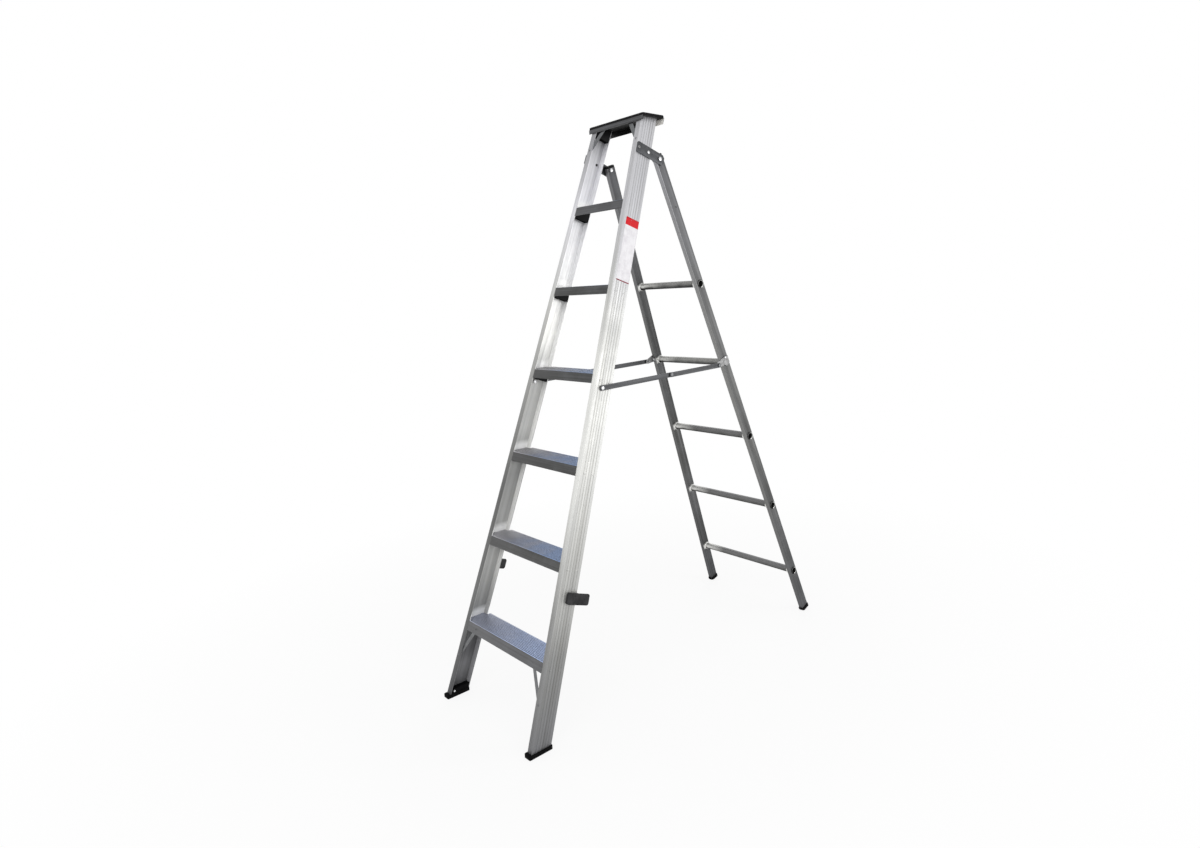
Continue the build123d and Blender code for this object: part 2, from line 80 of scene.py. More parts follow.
UP = Vector((0, 0, 1))
WELD = 1e-6  # points of a solid closer than this are one point
FLAT_ANGLE = math.radians(0.5)  # faces of a solid that lie this flat are one face
EDGE_ANGLE = math.radians(28)  # edges sharper than this are rounded
EDGE_FACES = 2  # faces across a rounded edge
SMOOTH_ANGLE = math.radians(40)  # edges sharper than this stay sharp to the eye
NOISE = (0.3, 0.7)  # range that holds most of a noise

# Least share of a direction in the normal of a face that counts as turned to it
FLAT = 0.99
SQUARE = 0.9
FACING = 0.8
SLANTED = 0.7
CURVED = 0.6
GLANCING = 0.3


class Side(Enum):
    """The two sides of the ladder, seen by a person who faces the treads."""

    LEFT = -1
    RIGHT = 1

    @property
    def word(self) -> str:
        """Name of the side as the nodes spell it."""
        return self.name.lower()


class Face(Enum):
    """Faces of a leaning member that something can stand on."""

    OUTER = "outer"
    INNER = "inner"
    FRONT = "front"


class Edge(Enum):
    """Roundings of edges in metres."""

    CRISP = 0.0003
    FINE = 0.0004
    FIRM = 0.0005
    MOULDED = 0.0006
    SOFT = 0.0008


class Slot(Enum):
    """Material slots of the record."""

    MILL = "mill_aluminium"
    TREAD = "tread_aluminium"
    GREY = "grey_aluminium"
    PLASTIC = "black_plastic"
    RUBBER = "black_rubber"
    DARK = "dark_steel"
    ZINC = "zinc_steel"


class Body(Enum):
    """Bodies that pieces ride on."""

    FRONT = "front_section"
    REAR = "rear_section"
    FRONT_BAR_LEFT = "front_bar_left"
    FRONT_BAR_RIGHT = "front_bar_right"
    REAR_BAR_LEFT = "rear_bar_left"
    REAR_BAR_RIGHT = "rear_bar_right"


def mirrored(vector: Vector, side: Side) -> Vector:
    """A point or direction of the right-hand side, on a side."""
    return Vector((side.value * vector.x, vector.y, vector.z))


def placement(point: Vector, normal: Vector, length: Vector) -> Matrix:
    """Matrix that puts the origin on a point and turns Z to a normal.

    Args:
        point: Where the origin goes.
        normal: Where the Z axis points.
        length: Direction that the Y axis follows as nearly as it can.

    Returns:
        The placement.
    """
    z = normal.normalized()
    x = length.cross(z).normalized()
    y = z.cross(x)
    turn = Matrix((x, y, z)).transposed().to_4x4()
    return Matrix.Translation(point) @ turn


@dataclass(frozen=True)
class Member:
    """A leaning member of the right-hand side; the left-hand one is its mirror image.

    Attributes:
        origin: Point on its outer face from which lengths along it are measured.
        along: Direction of its length.
        outward: Direction out of its outer face.
    """

    origin: Vector
    along: Vector
    outward: Vector

    @property
    def back(self) -> Vector:
        """Direction across the member, towards the back of the ladder."""
        across = self.along.cross(self.outward)
        return across if across.y > 0 else -across

    def seat(
        self, side: Side, back: float, along: float, out: float = 0.0, face: Face = Face.OUTER
    ) -> Matrix:
        """Placement whose Z axis stands on a face of the member.

        Args:
            side: Side of the ladder.
            back: Distance across the member, towards the back.
            along: Distance along the member.
            out: Distance out of the outer face.
            face: Face that the Z axis leaves.

        Returns:
            The placement.
        """
        point = self.origin + self.back * back + self.along * along + self.outward * out
        normal = {
            Face.OUTER: self.outward,
            Face.INNER: -self.outward,
            Face.FRONT: -self.back,
        }[face]
        return placement(*(mirrored(vector, side) for vector in (point, normal, self.along)))

    def turn(self, side: Side) -> Triple:
        """Euler angles that lay Object coordinates along the member of a side.

        Args:
            side: Side of the ladder.

        Returns:
            Angles for a Mapping node: X then runs across, Y out and Z along the member.
        """
        across, length = mirrored(self.back, side), mirrored(self.along, side)
        return tuple(Matrix((across, length.cross(across), length)).to_euler("XYZ"))


@dataclass(frozen=True)
class Outline:
    """Main sizes of the ladder in metres, repeated from the solids.

    Attributes:
        height: Height of the ladder.
        base_width: Width over the stiles at the floor.
        top_width: Width over the stiles at the top.
        front_run: How far the stiles lean back over their height.
        front_y: Y of the front faces of the stiles at the floor.
        flange: Width of a stile's flanges.
        web: Thickness of a stile's web.
        groove_back: Place of the web's middle groove across the stile.
        groove_pitch: Spacing of the grooves.
        groove_half: Half the width of a groove.
        grooves_beside: How many grooves lie on either side of the middle one.
        first_tread: Height of the lowest tread.
        tread_pitch: Spacing of the treads.
        rail_origin: Point on the right rear rail's outer face, level with the hinge.
        rear_lean: Backward lean of a rail per unit of height.
        rear_flare: Outward lean of a rail per unit of height.
        first_rung: Place of the highest rung along a rail.
        rung_pitch: Spacing of the rungs along a rail.
        rung_radius: Radius of a rung.
    """

    height: float = 2.080
    base_width: float = 0.546
    top_width: float = 0.276
    front_run: float = 0.742
    front_y: float = -0.7443239
    flange: float = 0.025
    web: float = 0.0022
    groove_back: float = 0.036
    groove_pitch: float = 0.011
    groove_half: float = 0.0012
    grooves_beside: int = 2
    first_tread: float = 0.271
    tread_pitch: float = 0.300
    rail_origin: Triple = (0.146119, 0.0699687, 1.92101)
    rear_lean: float = 0.343569
    rear_flare: float = 0.069433
    first_rung: float = 0.489
    rung_pitch: float = 0.335
    rung_radius: float = 0.0135

    @property
    def flare(self) -> float:
        """Inward lean of a stile per unit of height."""
        return (self.base_width - self.top_width) / 2 / self.height

    @property
    def lean(self) -> float:
        """Backward lean of a stile per unit of height."""
        return self.front_run / self.height

    @property
    def stile(self) -> Member:
        """The right stile, measured from the floor and its front edge."""
        return Member(
            Vector((self.base_width / 2, self.front_y, 0)),
            Vector((-self.flare, self.lean, 1)).normalized(),
            Vector((1, 0, self.flare)).normalized(),
        )

    @property
    def rail(self) -> Member:
        """The right rear rail, measured down from the hinge and from its middle line."""
        return Member(
            Vector(self.rail_origin),
            Vector((self.rear_flare, self.rear_lean, -1)).normalized(),
            Vector((1, 0, self.rear_flare)).normalized(),
        )

    @property
    def grooves(self) -> list[float]:
        """Places of the web's grooves across a stile."""
        numbers = range(-self.grooves_beside, self.grooves_beside + 1)
        return [self.groove_back + number * self.groove_pitch for number in numbers]

    def front_at(self, height: float) -> float:
        """Y of the front faces of the stiles at a height."""
        return self.front_y + self.lean * height

    def along_at(self, height: float) -> float:
        """Length along a stile at a height."""
        return height / self.stile.along.z

    def flange_middle(self, height: float) -> float:
        """X of the middle of the right stile's front flange at a height."""
        return self.base_width / 2 - self.flare * height - self.flange / 2

    def on_flange(self, side: Side, height: float) -> Matrix:
        """Placement on the middle of a stile's front flange at a height."""
        return self.stile.seat(side, 0, self.along_at(height), -self.flange / 2, Face.FRONT)


OUTLINE = Outline()


# Working on meshes


def deselect() -> None:
    """Select no object."""
    for other in bpy.context.view_layer.objects:
        other.select_set(False)


def activate(piece: Piece) -> None:
    """Select one object alone and make it active."""
    deselect()
    piece.select_set(True)
    bpy.context.view_layer.objects.active = piece


def mode(name: str) -> None:
    """Switch the active object between EDIT and OBJECT mode."""
    bpy.ops.object.mode_set(mode=name)


def entitle(piece: Piece, name: str) -> None:
    """Give an object and its mesh a name."""
    piece.name = name
    piece.data.name = name


def fresh(add: Callable[..., set], name: str, **sizes) -> Piece:
    """Add a primitive on its own and open it for editing.

    Args:
        add: Operator that adds the primitive.
        name: Name of the new object.
        sizes: Arguments of the operator.

    Returns:
        The new object, in edit mode with nothing selected.
    """
    deselect()
    add(**sizes)
    piece = bpy.context.object
    entitle(piece, name)
    mode("EDIT")
    bpy.ops.mesh.select_all(action="DESELECT")
    return piece


def pick_top(piece: Piece, level: float) -> None:
    """Select the level faces of an open mesh that lie at a height or above it.

    Args:
        piece: Object in edit mode.
        level: The height.
    """
    mesh = bmesh.from_edit_mesh(piece.data)
    bpy.ops.mesh.select_mode(type="FACE")
    for face in mesh.faces:
        height = face.calc_center_median().z
        face.select_set(face.normal.z > FLAT and height > level - WELD)
    mesh.select_flush_mode()
    bmesh.update_edit_mesh(piece.data)


def pick_points(piece: Piece, test: Callable[[Vector], bool]) -> None:
    """Select the points of an open mesh that pass a test.

    Args:
        piece: Object in edit mode.
        test: Takes a point's place.
    """
    bpy.ops.mesh.select_mode(type="VERT")
    mesh = bmesh.from_edit_mesh(piece.data)
    for vertex in mesh.verts:
        vertex.select_set(test(vertex.co))
    mesh.select_flush_mode()
    bmesh.update_edit_mesh(piece.data)


def close(piece: Piece) -> Piece:
    """Leave edit mode and smooth all but the sharp edges of a piece.

    Args:
        piece: Object in edit mode.

    Returns:
        The same object.
    """
    mode("OBJECT")
    activate(piece)
    bpy.ops.object.shade_smooth_by_angle(angle=SMOOTH_ANGLE)
    return piece


def spread(pattern: Piece, name: str, places: Iterable[Matrix]) -> Piece:
    """Copy a pattern to many places as one object and delete the pattern.

    Args:
        pattern: Model at the origin.
        name: Name of the result.
        places: Placements of the copies.

    Returns:
        The joined copies, with their places in the mesh.
    """
    copies = []
    for place in places:
        copy = bpy.data.objects.new(name, pattern.data.copy())
        copy.data.transform(place)
        bpy.context.scene.collection.objects.link(copy)
        copies.append(copy)
    bpy.data.objects.remove(pattern)
    activate(copies[0])
    for copy in copies:
        copy.select_set(True)
    if len(copies) > 1:
        bpy.ops.object.join()
    whole = bpy.context.view_layer.objects.active
    entitle(whole, name)
    return whole


def rounded_copy(node: str, edge: Edge) -> Piece:
    """Copy of a solid with its points merged and its edges rounded.

    Args:
        node: Name of the solid.
        edge: Rounding of its edges.

    Returns:
        The copy, which stands for the solid.
    """
    piece = bpy.data.objects.new(f"{node}_shape", frame["nodes"][node].data.copy())
    bpy.context.scene.collection.objects.link(piece)
    activate(piece)
    if piece.data.has_custom_normals:
        bpy.ops.mesh.customdata_custom_splitnormals_clear()
    mode("EDIT")
    bpy.ops.mesh.select_all(action="SELECT")
    bpy.ops.mesh.remove_doubles(threshold=WELD)
    bpy.ops.mesh.dissolve_limited(angle_limit=FLAT_ANGLE)
    mode("OBJECT")
    rounding = piece.modifiers.new("edge", "BEVEL")
    rounding.width = edge.value
    rounding.segments = EDGE_FACES
    rounding.limit_method = "ANGLE"
    rounding.angle_limit = EDGE_ANGLE
    rounding.use_clamp_overlap = True
    bpy.ops.object.modifier_apply(modifier=rounding.name)
    bpy.ops.object.shade_smooth_by_angle(angle=SMOOTH_ANGLE)
    return piece


# Finishes


class Shader:
    """A material while its nodes are being wired."""

    def __init__(self, name: str) -> None:
        """Start a material with one principled surface.

        Args:
            name: Name of the material.
        """
        self.material = bpy.data.materials.new(name)
        self.material.use_nodes = True
        self.tree = self.material.node_tree
        self.surface = self.tree.nodes["Principled BSDF"]

    def add(self, kind: str, **settings) -> bpy.types.Node:
        """Add a node and set its properties."""
        node = self.tree.nodes.new(kind)
        for key, value in settings.items():
            setattr(node, key, value)
        return node

    def wire(self, source: Socket, target: Socket) -> None:
        """Link two sockets."""
        self.tree.links.new(source, target)

    def fix(self, **values) -> None:
        """Set constants of the surface, spaces in socket names written as underscores."""
        for key, value in values.items():
            self.surface.inputs[key.replace("_", " ")].default_value = value

    def axis(self, name: str, space: str = "Object") -> Socket:
        """One coordinate, X, Y or Z, of a coordinate space."""
        source = self.add("ShaderNodeTexCoord")
        parts = self.add("ShaderNodeSeparateXYZ")
        self.wire(source.outputs[space], parts.inputs["Vector"])
        return parts.outputs[name]

    def height(self) -> Socket:
        """Height above the floor in metres."""
        return self.axis("Z")

    def reach(self, direction: Vector) -> Socket:
        """Object coordinate along a direction."""
        source = self.add("ShaderNodeTexCoord")
        node = self.add("ShaderNodeVectorMath", operation="DOT_PRODUCT")
        self.wire(source.outputs["Object"], node.inputs[0])
        node.inputs[1].default_value = direction
        return node.outputs["Value"]

    def place(self, scale: Triple = (1, 1, 1), turn: Triple = (0, 0, 0)) -> Socket:
        """Object coordinates, turned and then stretched.

        Args:
            scale: Stretch along the turned axes.
            turn: Euler angles.

        Returns:
            The vector socket.
        """
        source = self.add("ShaderNodeTexCoord")
        turned = self.add("ShaderNodeMapping")
        turned.inputs["Rotation"].default_value = turn
        stretched = self.add("ShaderNodeMapping")
        stretched.inputs["Scale"].default_value = scale
        self.wire(source.outputs["Object"], turned.inputs["Vector"])
        self.wire(turned.outputs["Vector"], stretched.inputs["Vector"])
        return stretched.outputs["Vector"]

    def noise(
        self, scale: float, detail: float, rough: float = 0.5, vector: Socket | None = None
    ) -> Socket:
        """Noise from 0 to 1.

        Args:
            scale: Cells per metre.
            detail: Octaves.
            rough: Weight of the finer octaves.
            vector: Coordinates, if not plain Object coordinates.

        Returns:
            The value socket.
        """
        node = self.add("ShaderNodeTexNoise")
        node.inputs["Scale"].default_value = scale
        node.inputs["Detail"].default_value = detail
        node.inputs["Roughness"].default_value = rough
        self.wire(vector or self.place(), node.inputs["Vector"])
        return node.outputs["Fac"]

    def lines(self, grain: Triple, turn: Triple = (0, 0, 0)) -> Socket:
        """Fine lines: noise with its own cells per metre along each turned axis."""
        return self.noise(scale=1.0, detail=2.0, vector=self.place(grain, turn))

    def ramp(self, value: Socket, stops: Sequence[tuple[float, Colour]]) -> Socket:
        """Colours along a value.

        Args:
            value: Where on the ramp.
            stops: Places and colours.

        Returns:
            The colour socket.
        """
        node = self.add("ShaderNodeValToRGB")
        marks = node.color_ramp.elements
        while len(marks) < len(stops):
            marks.new(1.0)
        for mark, (place, colour) in zip(marks, stops):
            mark.position = place
            mark.color = (*colour, 1.0)
        self.wire(value, node.inputs["Fac"])
        return node.outputs["Color"]

    def span(self, value: Socket, source: Pair, target: Pair) -> Socket:
        """A value mapped from one range to another.

        Args:
            value: The value.
            source: Range that it has.
            target: Range that it gets.

        Returns:
            The value socket.
        """
        node = self.add("ShaderNodeMapRange")
        keys = ("From Min", "From Max", "To Min", "To Max")
        for key, number in zip(keys, (*source, *target)):
            node.inputs[key].default_value = number
        self.wire(value, node.inputs["Value"])
        return node.outputs["Result"]

    def sum(self, value: Socket, operation: str, other: Socket | float = 0.0) -> Socket:
        """A value worked out from two others.

        Args:
            value: First value.
            operation: What is done with them.
            other: Second value.

        Returns:
            The value socket.
        """
        node = self.add("ShaderNodeMath", operation=operation)
        self.wire(value, node.inputs[0])
        if isinstance(other, Socket):
            self.wire(other, node.inputs[1])
        else:
            node.inputs[1].default_value = other
        return node.outputs["Value"]

    def tint(
        self, share: Socket, first: Socket, second: Socket | Colour, blend: str = "MIX"
    ) -> Socket:
        """Two colours blended.

        Args:
            share: How much of the second.
            first: First colour.
            second: Second colour.
            blend: How they are blended.

        Returns:
            The colour socket.
        """
        node = self.add("ShaderNodeMix", data_type="RGBA", blend_type=blend)
        self.wire(share, node.inputs["Factor"])
        self.wire(first, node.inputs["A"])
        if isinstance(second, Socket):
            self.wire(second, node.inputs["B"])
        else:
            node.inputs["B"].default_value = (*second, 1.0)
        return node.outputs["Result"]

    def paint(self, colour: Socket) -> None:
        """Wire the base colour."""
        self.wire(colour, self.surface.inputs["Base Color"])

    def gloss(self, roughness: Socket) -> None:
        """Wire the roughness."""
        self.wire(roughness, self.surface.inputs["Roughness"])

    def relief(self, height: Socket, depth: float, strength: float) -> None:
        """Wire a bump.

        Args:
            height: Height from 0 to 1.
            depth: Its depth in metres.
            strength: How much of it shows.
        """
        node = self.add("ShaderNodeBump")
        node.inputs["Distance"].default_value = depth
        node.inputs["Strength"].default_value = strength
        self.wire(height, node.inputs["Height"])
        self.wire(node.outputs["Normal"], self.surface.inputs["Normal"])

    def seen(self) -> Socket:
        """One for rays from the camera, a mirror or glass, else nought."""
        path = self.add("ShaderNodeLightPath")
        total = path.outputs["Is Camera Ray"]
        for ray in ("Is Glossy Ray", "Is Transmission Ray"):
            node = self.add("ShaderNodeMath", operation="ADD", use_clamp=True)
            self.wire(total, node.inputs[0])
            self.wire(path.outputs[ray], node.inputs[1])
            total = node.outputs["Value"]
        return total

    def mix_out(self, share: Socket, first: Socket, second: Socket, output: str) -> None:
        """Blend two surfaces and wire them to an output.

        Args:
            share: How much of the second.
            first: First surface.
            second: Second surface.
            output: Name of the output node.
        """
        mixed = self.add("ShaderNodeMixShader")
        self.wire(share, mixed.inputs["Fac"])
        self.wire(first, mixed.inputs[1])
        self.wire(second, mixed.inputs[2])
        self.wire(mixed.outputs["Shader"], self.tree.nodes[output].inputs["Surface"])


class WorldShader(Shader):
    """The world while its nodes are being wired."""

    def __init__(self, name: str) -> None:
        """Start a world.

        Args:
            name: Name of the world.
        """
        self.world = bpy.data.worlds.new(name)
        self.world.use_nodes = True
        self.tree = self.world.node_tree


@dataclass(frozen=True)
class Flutes:
    """Shallow grooves along a member, darkened with painted shade.

    Attributes:
        across: Direction across the member.
        middle: Place of the middle groove in that direction.
        pitch: Spacing of the grooves.
        half: Half the width of a groove.
        beside: How many grooves lie on either side of the middle one.
        dirt: Colour of the painted shade in the grooves.
        share: How much of it shows.
        foot_light: Heights between which the painted shade fades out downwards.
        left: Share of the painted shade that is left at the lower height.
    """

    across: Vector
    middle: float
    pitch: float = OUTLINE.groove_pitch
    half: float = OUTLINE.groove_half
    beside: int = OUTLINE.grooves_beside
    dirt: Colour = (0.66, 0.66, 0.64)
    share: float = 0.7
    foot_light: Pair = (0.1, 0.6)
    left: float = 0.15

    def mask(self, shader: Shader) -> Socket:
        """Share of the painted groove shade at each place.

        Args:
            shader: Material that gets the nodes.

        Returns:
            The value socket.
        """
        # Painted shade in the grooves, fading out towards the floor.
        across = shader.sum(shader.reach(self.across), "SUBTRACT", self.middle)
        near = shader.sum(across, "PINGPONG", self.pitch / 2)
        groove = shader.span(near, (0, self.half * 2), (self.share, 0))
        away = shader.sum(across, "ABSOLUTE")
        reach = self.beside * self.pitch + self.half
        within = shader.span(away, (reach, reach + self.half), (1, 0))
        foot_light = shader.span(shader.height(), self.foot_light, (self.left, 1))
        return shader.sum(shader.sum(groove, "MULTIPLY", within), "MULTIPLY", foot_light)


@dataclass(frozen=True)
class PaintedHighlights:
    """Painted highlights along a rail or a stile, one at the end of each rung or tread.

    Attributes:
        along: Direction from one spot to the next.
        first: Place of the first spot in that direction.
        pitch: Spacing of the spots.
        half: Half the length of a spot.
        colour: Colour of the spots.
        share: How much of it shows.
        fade: Where a spot fades, in half lengths from its middle.
        start: Where the first spot may start, in half lengths from its middle.
    """

    along: Vector
    first: float
    pitch: float
    half: float = 0.013
    colour: Colour = (0.80, 0.80, 0.78)
    share: float = 0.85
    fade: Pair = (0.5, 1.2)
    start: Pair = (-2.1, -2.0)

    def mask(self, shader: Shader) -> Socket:
        """Share of the bright colour at each place.

        Args:
            shader: Material that gets the nodes.

        Returns:
            The value socket.
        """
        away = shader.sum(shader.reach(self.along), "SUBTRACT", self.first)
        near = shader.sum(away, "PINGPONG", self.pitch / 2)
        fade, start = (
            tuple(self.half * mark for mark in marks) for marks in (self.fade, self.start)
        )
        spot = shader.span(near, fade, (self.share, 0))
        return shader.sum(spot, "MULTIPLY", shader.span(away, start, (0, 1)))


@dataclass(frozen=True)
class DrawnAluminium:
    """Aluminium with fine lines along its length, as it leaves the die.

    Attributes:
        name: Name of the material.
        levels: Heights in metres and the colour there: the metal's grey with painted light and
            shade.
        turn: Euler angles that lay Z along the piece.
        grain: Cells per metre across, out and along the piece.
        roughness: Range of the roughness.
        metallic: Share of the metal in the surface.
        flutes: Grooves along the piece with painted shade in them, if any.
        stain: Share of the dark streaks.
        specular: Level of the mirror reflection of what is not bare metal.
        spots: Painted highlights along the piece, if any.
        cleaner: Heights between which the film on the metal thins out, if it does.
        clean: Share of the metal where it is thin.
        line: Colour of the fine lines.
        cloud: Colour of the clouds.
        streak: Colour that the dark streaks multiply by.
        broad: Cells of the dark streaks, as a share of those of the lines.
    """

    name: str
    levels: Levels
    turn: Triple = (0, 0, 0)
    grain: Triple = (420, 420, 3)
    roughness: Pair = (0.42, 0.58)
    metallic: float = 0.8
    flutes: Flutes | None = None
    stain: float = 0.45
    specular: float = 0.5
    spots: PaintedHighlights | None = None
    cleaner: Pair | None = None
    clean: float = 0.8
    line: Colour = (0.25, 0.26, 0.28)
    cloud: Colour = (0.42, 0.43, 0.46)
    streak: Colour = (0.60, 0.59, 0.56)
    broad: float = 0.22

    def material(self) -> Material:
        """Build the material.

        Returns:
            The material.
        """
        shader = Shader(self.name)
        top = OUTLINE.height
        # The greys by height carry painted light and shade.
        stops = [(height / top, colour) for height, colour in self.levels]
        metal = shader.ramp(shader.span(shader.height(), (0, top), (0, 1)), stops)
        lines = shader.lines(self.grain, self.turn)
        metal = shader.tint(shader.span(lines, (0.35, 0.7), (0, 0.22)), metal, self.line)
        along = shader.place(turn=self.turn)
        cloud = shader.noise(scale=9.0, detail=4.0, rough=0.6, vector=along)
        metal = shader.tint(shader.span(cloud, (0.45, 0.75), (0, 0.14)), metal, self.cloud)
        broad = shader.place(tuple(self.broad * cells for cells in self.grain), self.turn)
        streaks = shader.noise(scale=1.0, detail=3.0, rough=0.6, vector=broad)
        stained = shader.span(streaks, (0.42, 0.68), (0, self.stain))
        metal = shader.tint(stained, metal, self.streak, "MULTIPLY")
        # Painted shade in the grooves and painted highlights at the ends of the treads or rungs.
        if self.flutes:
            metal = shader.tint(self.flutes.mask(shader), metal, self.flutes.dirt, "MULTIPLY")
        if self.spots:
            metal = shader.tint(self.spots.mask(shader), metal, self.spots.colour)
        shader.paint(metal)
        shader.gloss(shader.span(cloud, NOISE, self.roughness))
        shader.relief(lines, depth=2.5e-5, strength=0.6)
        shader.fix(Metallic=self.metallic, Specular_IOR_Level=self.specular)
        if self.cleaner:
            share = shader.span(shader.height(), self.cleaner, (self.metallic, self.clean))
            shader.wire(share, shader.surface.inputs["Metallic"])
        return shader.material


@dataclass(frozen=True)
class RoundBar:
    """Round bars one under another, with painted light above and painted shade below.

    Attributes:
        name: Name of the material.
        down: Direction from one bar to the next.
        first: Place of the first bar in that direction.
        pitch: Spacing of the bars.
        radius: Radius of a bar.
        above: Colour of the upper side, as painted light.
        dull: Colour of the upper side of the lower bars, in painted shade.
        in_shade_at: Heights between which it turns to that painted shade.
        below: Colour of the lower side, as painted shade.
        turns: Where, across a bar, the upper side, the middle and the lower side show.
        wear_and_sheen: Colour of the painted highlight on the upper side near the left rail.
        highlight_share: How much of it shows.
        highlight_at: Where the painted highlight starts to fade and where it ends, from the left
            rail.
        roughness: Range of the roughness.
        metallic: Share of the metal in the surface.
    """

    name: str
    down: Vector
    first: float
    pitch: float
    radius: float
    above: Colour = (0.29, 0.29, 0.28)
    dull: Colour = (0.17, 0.17, 0.172)
    in_shade_at: Pair = (1.1, 0.85)
    below: Colour = (0.02, 0.02, 0.02)
    turns: Triple = (0.15, 0.5, 0.72)
    wear_and_sheen: Colour = (0.82, 0.82, 0.79)
    highlight_share: float = 0.8
    highlight_at: Pair = (0.04, 0.14)
    roughness: Pair = (0.4, 0.55)
    metallic: float = 0.75

    def material(self) -> Material:
        """Build the material.

        Returns:
            The material.
        """
        shader = Shader(self.name)
        down = shader.sum(shader.reach(self.down), "SUBTRACT", self.first - self.pitch / 2)
        phase = shader.sum(shader.sum(down, "DIVIDE", self.pitch), "FRACT")
        half = self.radius / self.pitch
        across = shader.span(phase, (0.5 - half, 0.5 + half), (0, 1))
        cloud = shader.noise(scale=18.0, detail=4.0, rough=0.6)
        shifted = shader.sum(across, "ADD", shader.span(cloud, NOISE, (-0.12, 0.12)))
        # Painted light on the upper side and painted shade below; the upper side of the lower bars
        # is in painted shade too.
        middle = tuple((2 * low + high) / 3 for low, high in zip(self.below, self.above))
        upper, lower = (
            shader.ramp(shifted, list(zip(self.turns, (crest, middle, self.below))))
            for crest in (self.above, self.dull)
        )
        drawn = shader.tint(shader.span(shader.height(), self.in_shade_at, (0, 1)), upper, lower)
        # Painted highlight on the upper side near the left rail.
        top, flare = Vector(OUTLINE.rail_origin), OUTLINE.rear_flare
        side = shader.reach(Vector((1, 0, -flare)))
        away = shader.sum(side, "ADD", top.x + flare * top.z)
        end = shader.span(away, self.highlight_at, (self.highlight_share, 0))
        crown = shader.span(shifted, (0.4, 0.65), (1, 0))
        shader.paint(shader.tint(shader.sum(end, "MULTIPLY", crown), drawn, self.wear_and_sheen))
        lines = shader.lines((4, 300, 300))
        shader.gloss(shader.span(lines, NOISE, self.roughness))
        shader.relief(lines, depth=4e-5, strength=0.6)
        shader.fix(Metallic=self.metallic)
        return shader.material


@dataclass(frozen=True)
class RibbedDeck:
    """Upper faces of the treads: painted light and sky reflection along them, a painted highlight
    at the left end and dirt between the ribs.

    Attributes:
        name: Name of the material.
        left: Colour towards the left end, as painted light and reflection.
        right: Colour towards the right end, as a painted reflection of blue sky.
        dirt: Colour between the ribs.
        dirt_share: How much of it shows.
        end: Colour of the painted highlight right at the left end.
        end_reach: Where it starts to fade and where it is gone, from the stile's outer face.
        rib: Height of the ribs.
        half: Half the length of a tread.
        foot_light: Colour of the painted light on the lowest tread.
        foot_light_at: Heights between which it fades.
        foot_light_share: How much of it shows.
        roughness: Range of the roughness.
        metallic: Share of the metal in the surface.
    """

    name: str
    left: Colour
    right: Colour
    dirt: Colour
    dirt_share: float = 0.7
    end: Colour = (0.74, 0.73, 0.76)
    end_reach: Pair = (0.03, 0.15)
    rib: float = 0.001
    half: float = 0.24
    foot_light: Colour = (0.54, 0.62, 0.86)
    foot_light_at: Pair = (0.3, 0.5)
    foot_light_share: float = 0.5
    roughness: Pair = (0.36, 0.52)
    metallic: float = 0.75

    def material(self) -> Material:
        """Build the material.

        Returns:
            The material.
        """
        shader = Shader(self.name)
        height = shader.height()
        across = shader.span(shader.axis("X"), (-self.half, self.half), (0, 1))
        cloud = shader.noise(scale=22.0, detail=5.0, rough=0.6)
        shifted = shader.sum(across, "ADD", shader.span(cloud, NOISE, (-0.2, 0.2)))
        # Painted reflection: pale towards the left end, sky blue towards the right.
        metal = shader.ramp(shifted, [(0.2, self.left), (0.75, self.right)])
        # Painted highlight at the left end, next to the stile.
        stile = shader.reach(Vector((1, 0, -OUTLINE.flare)))
        away = shader.sum(stile, "ADD", OUTLINE.base_width / 2)
        metal = shader.tint(shader.span(away, self.end_reach, (1, 0)), metal, self.end)
        # Painted light on the lowest tread.
        foot_light = shader.span(height, self.foot_light_at, (self.foot_light_share, 0))
        metal = shader.tint(foot_light, metal, self.foot_light)
        level = shader.sum(height, "SUBTRACT", OUTLINE.first_tread - self.rib / 2)
        phase = shader.sum(shader.sum(level, "DIVIDE", OUTLINE.tread_pitch), "FRACT")
        low = shader.span(phase, (0.5, 0.51), (0, self.dirt_share))
        shader.paint(shader.tint(low, metal, self.dirt))
        lines = shader.lines((5, 420, 420))
        shader.gloss(shader.span(lines, NOISE, self.roughness))
        shader.relief(lines, depth=4e-5, strength=0.6)
        shader.fix(Metallic=self.metallic)
        return shader.material


@dataclass(frozen=True)
class MouldedPlastic:
    """Black plastic with the fine grain of its mould.

    Attributes:
        name: Name of the material.
        dark: Colour in the pits.
        light: Colour on the rubbed places.
        roughness: Range of the roughness.
        grain: Cells per metre of the mould's grain.
        specular: Level of the mirror reflection.
    """

    name: str
    dark: Colour = (0.004, 0.004, 0.0045)
    light: Colour = (0.012, 0.012, 0.013)
    roughness: Pair = (0.45, 0.65)
    grain: float = 900.0
    specular: float = 0.1

    def material(self) -> Material:
        """Build the material.

        Returns:
            The material.
        """
        shader = Shader(self.name)
        wear_and_sheen = shader.noise(scale=26.0, detail=5.0, rough=0.65)
        shader.paint(shader.ramp(wear_and_sheen, [(0.38, self.dark), (0.72, self.light)]))
        shader.gloss(shader.span(wear_and_sheen, NOISE, self.roughness))
        fine = shader.noise(scale=self.grain, detail=2.0)
        shader.relief(fine, depth=6e-5, strength=0.7)
        shader.fix(Specular_IOR_Level=self.specular)
        return shader.material


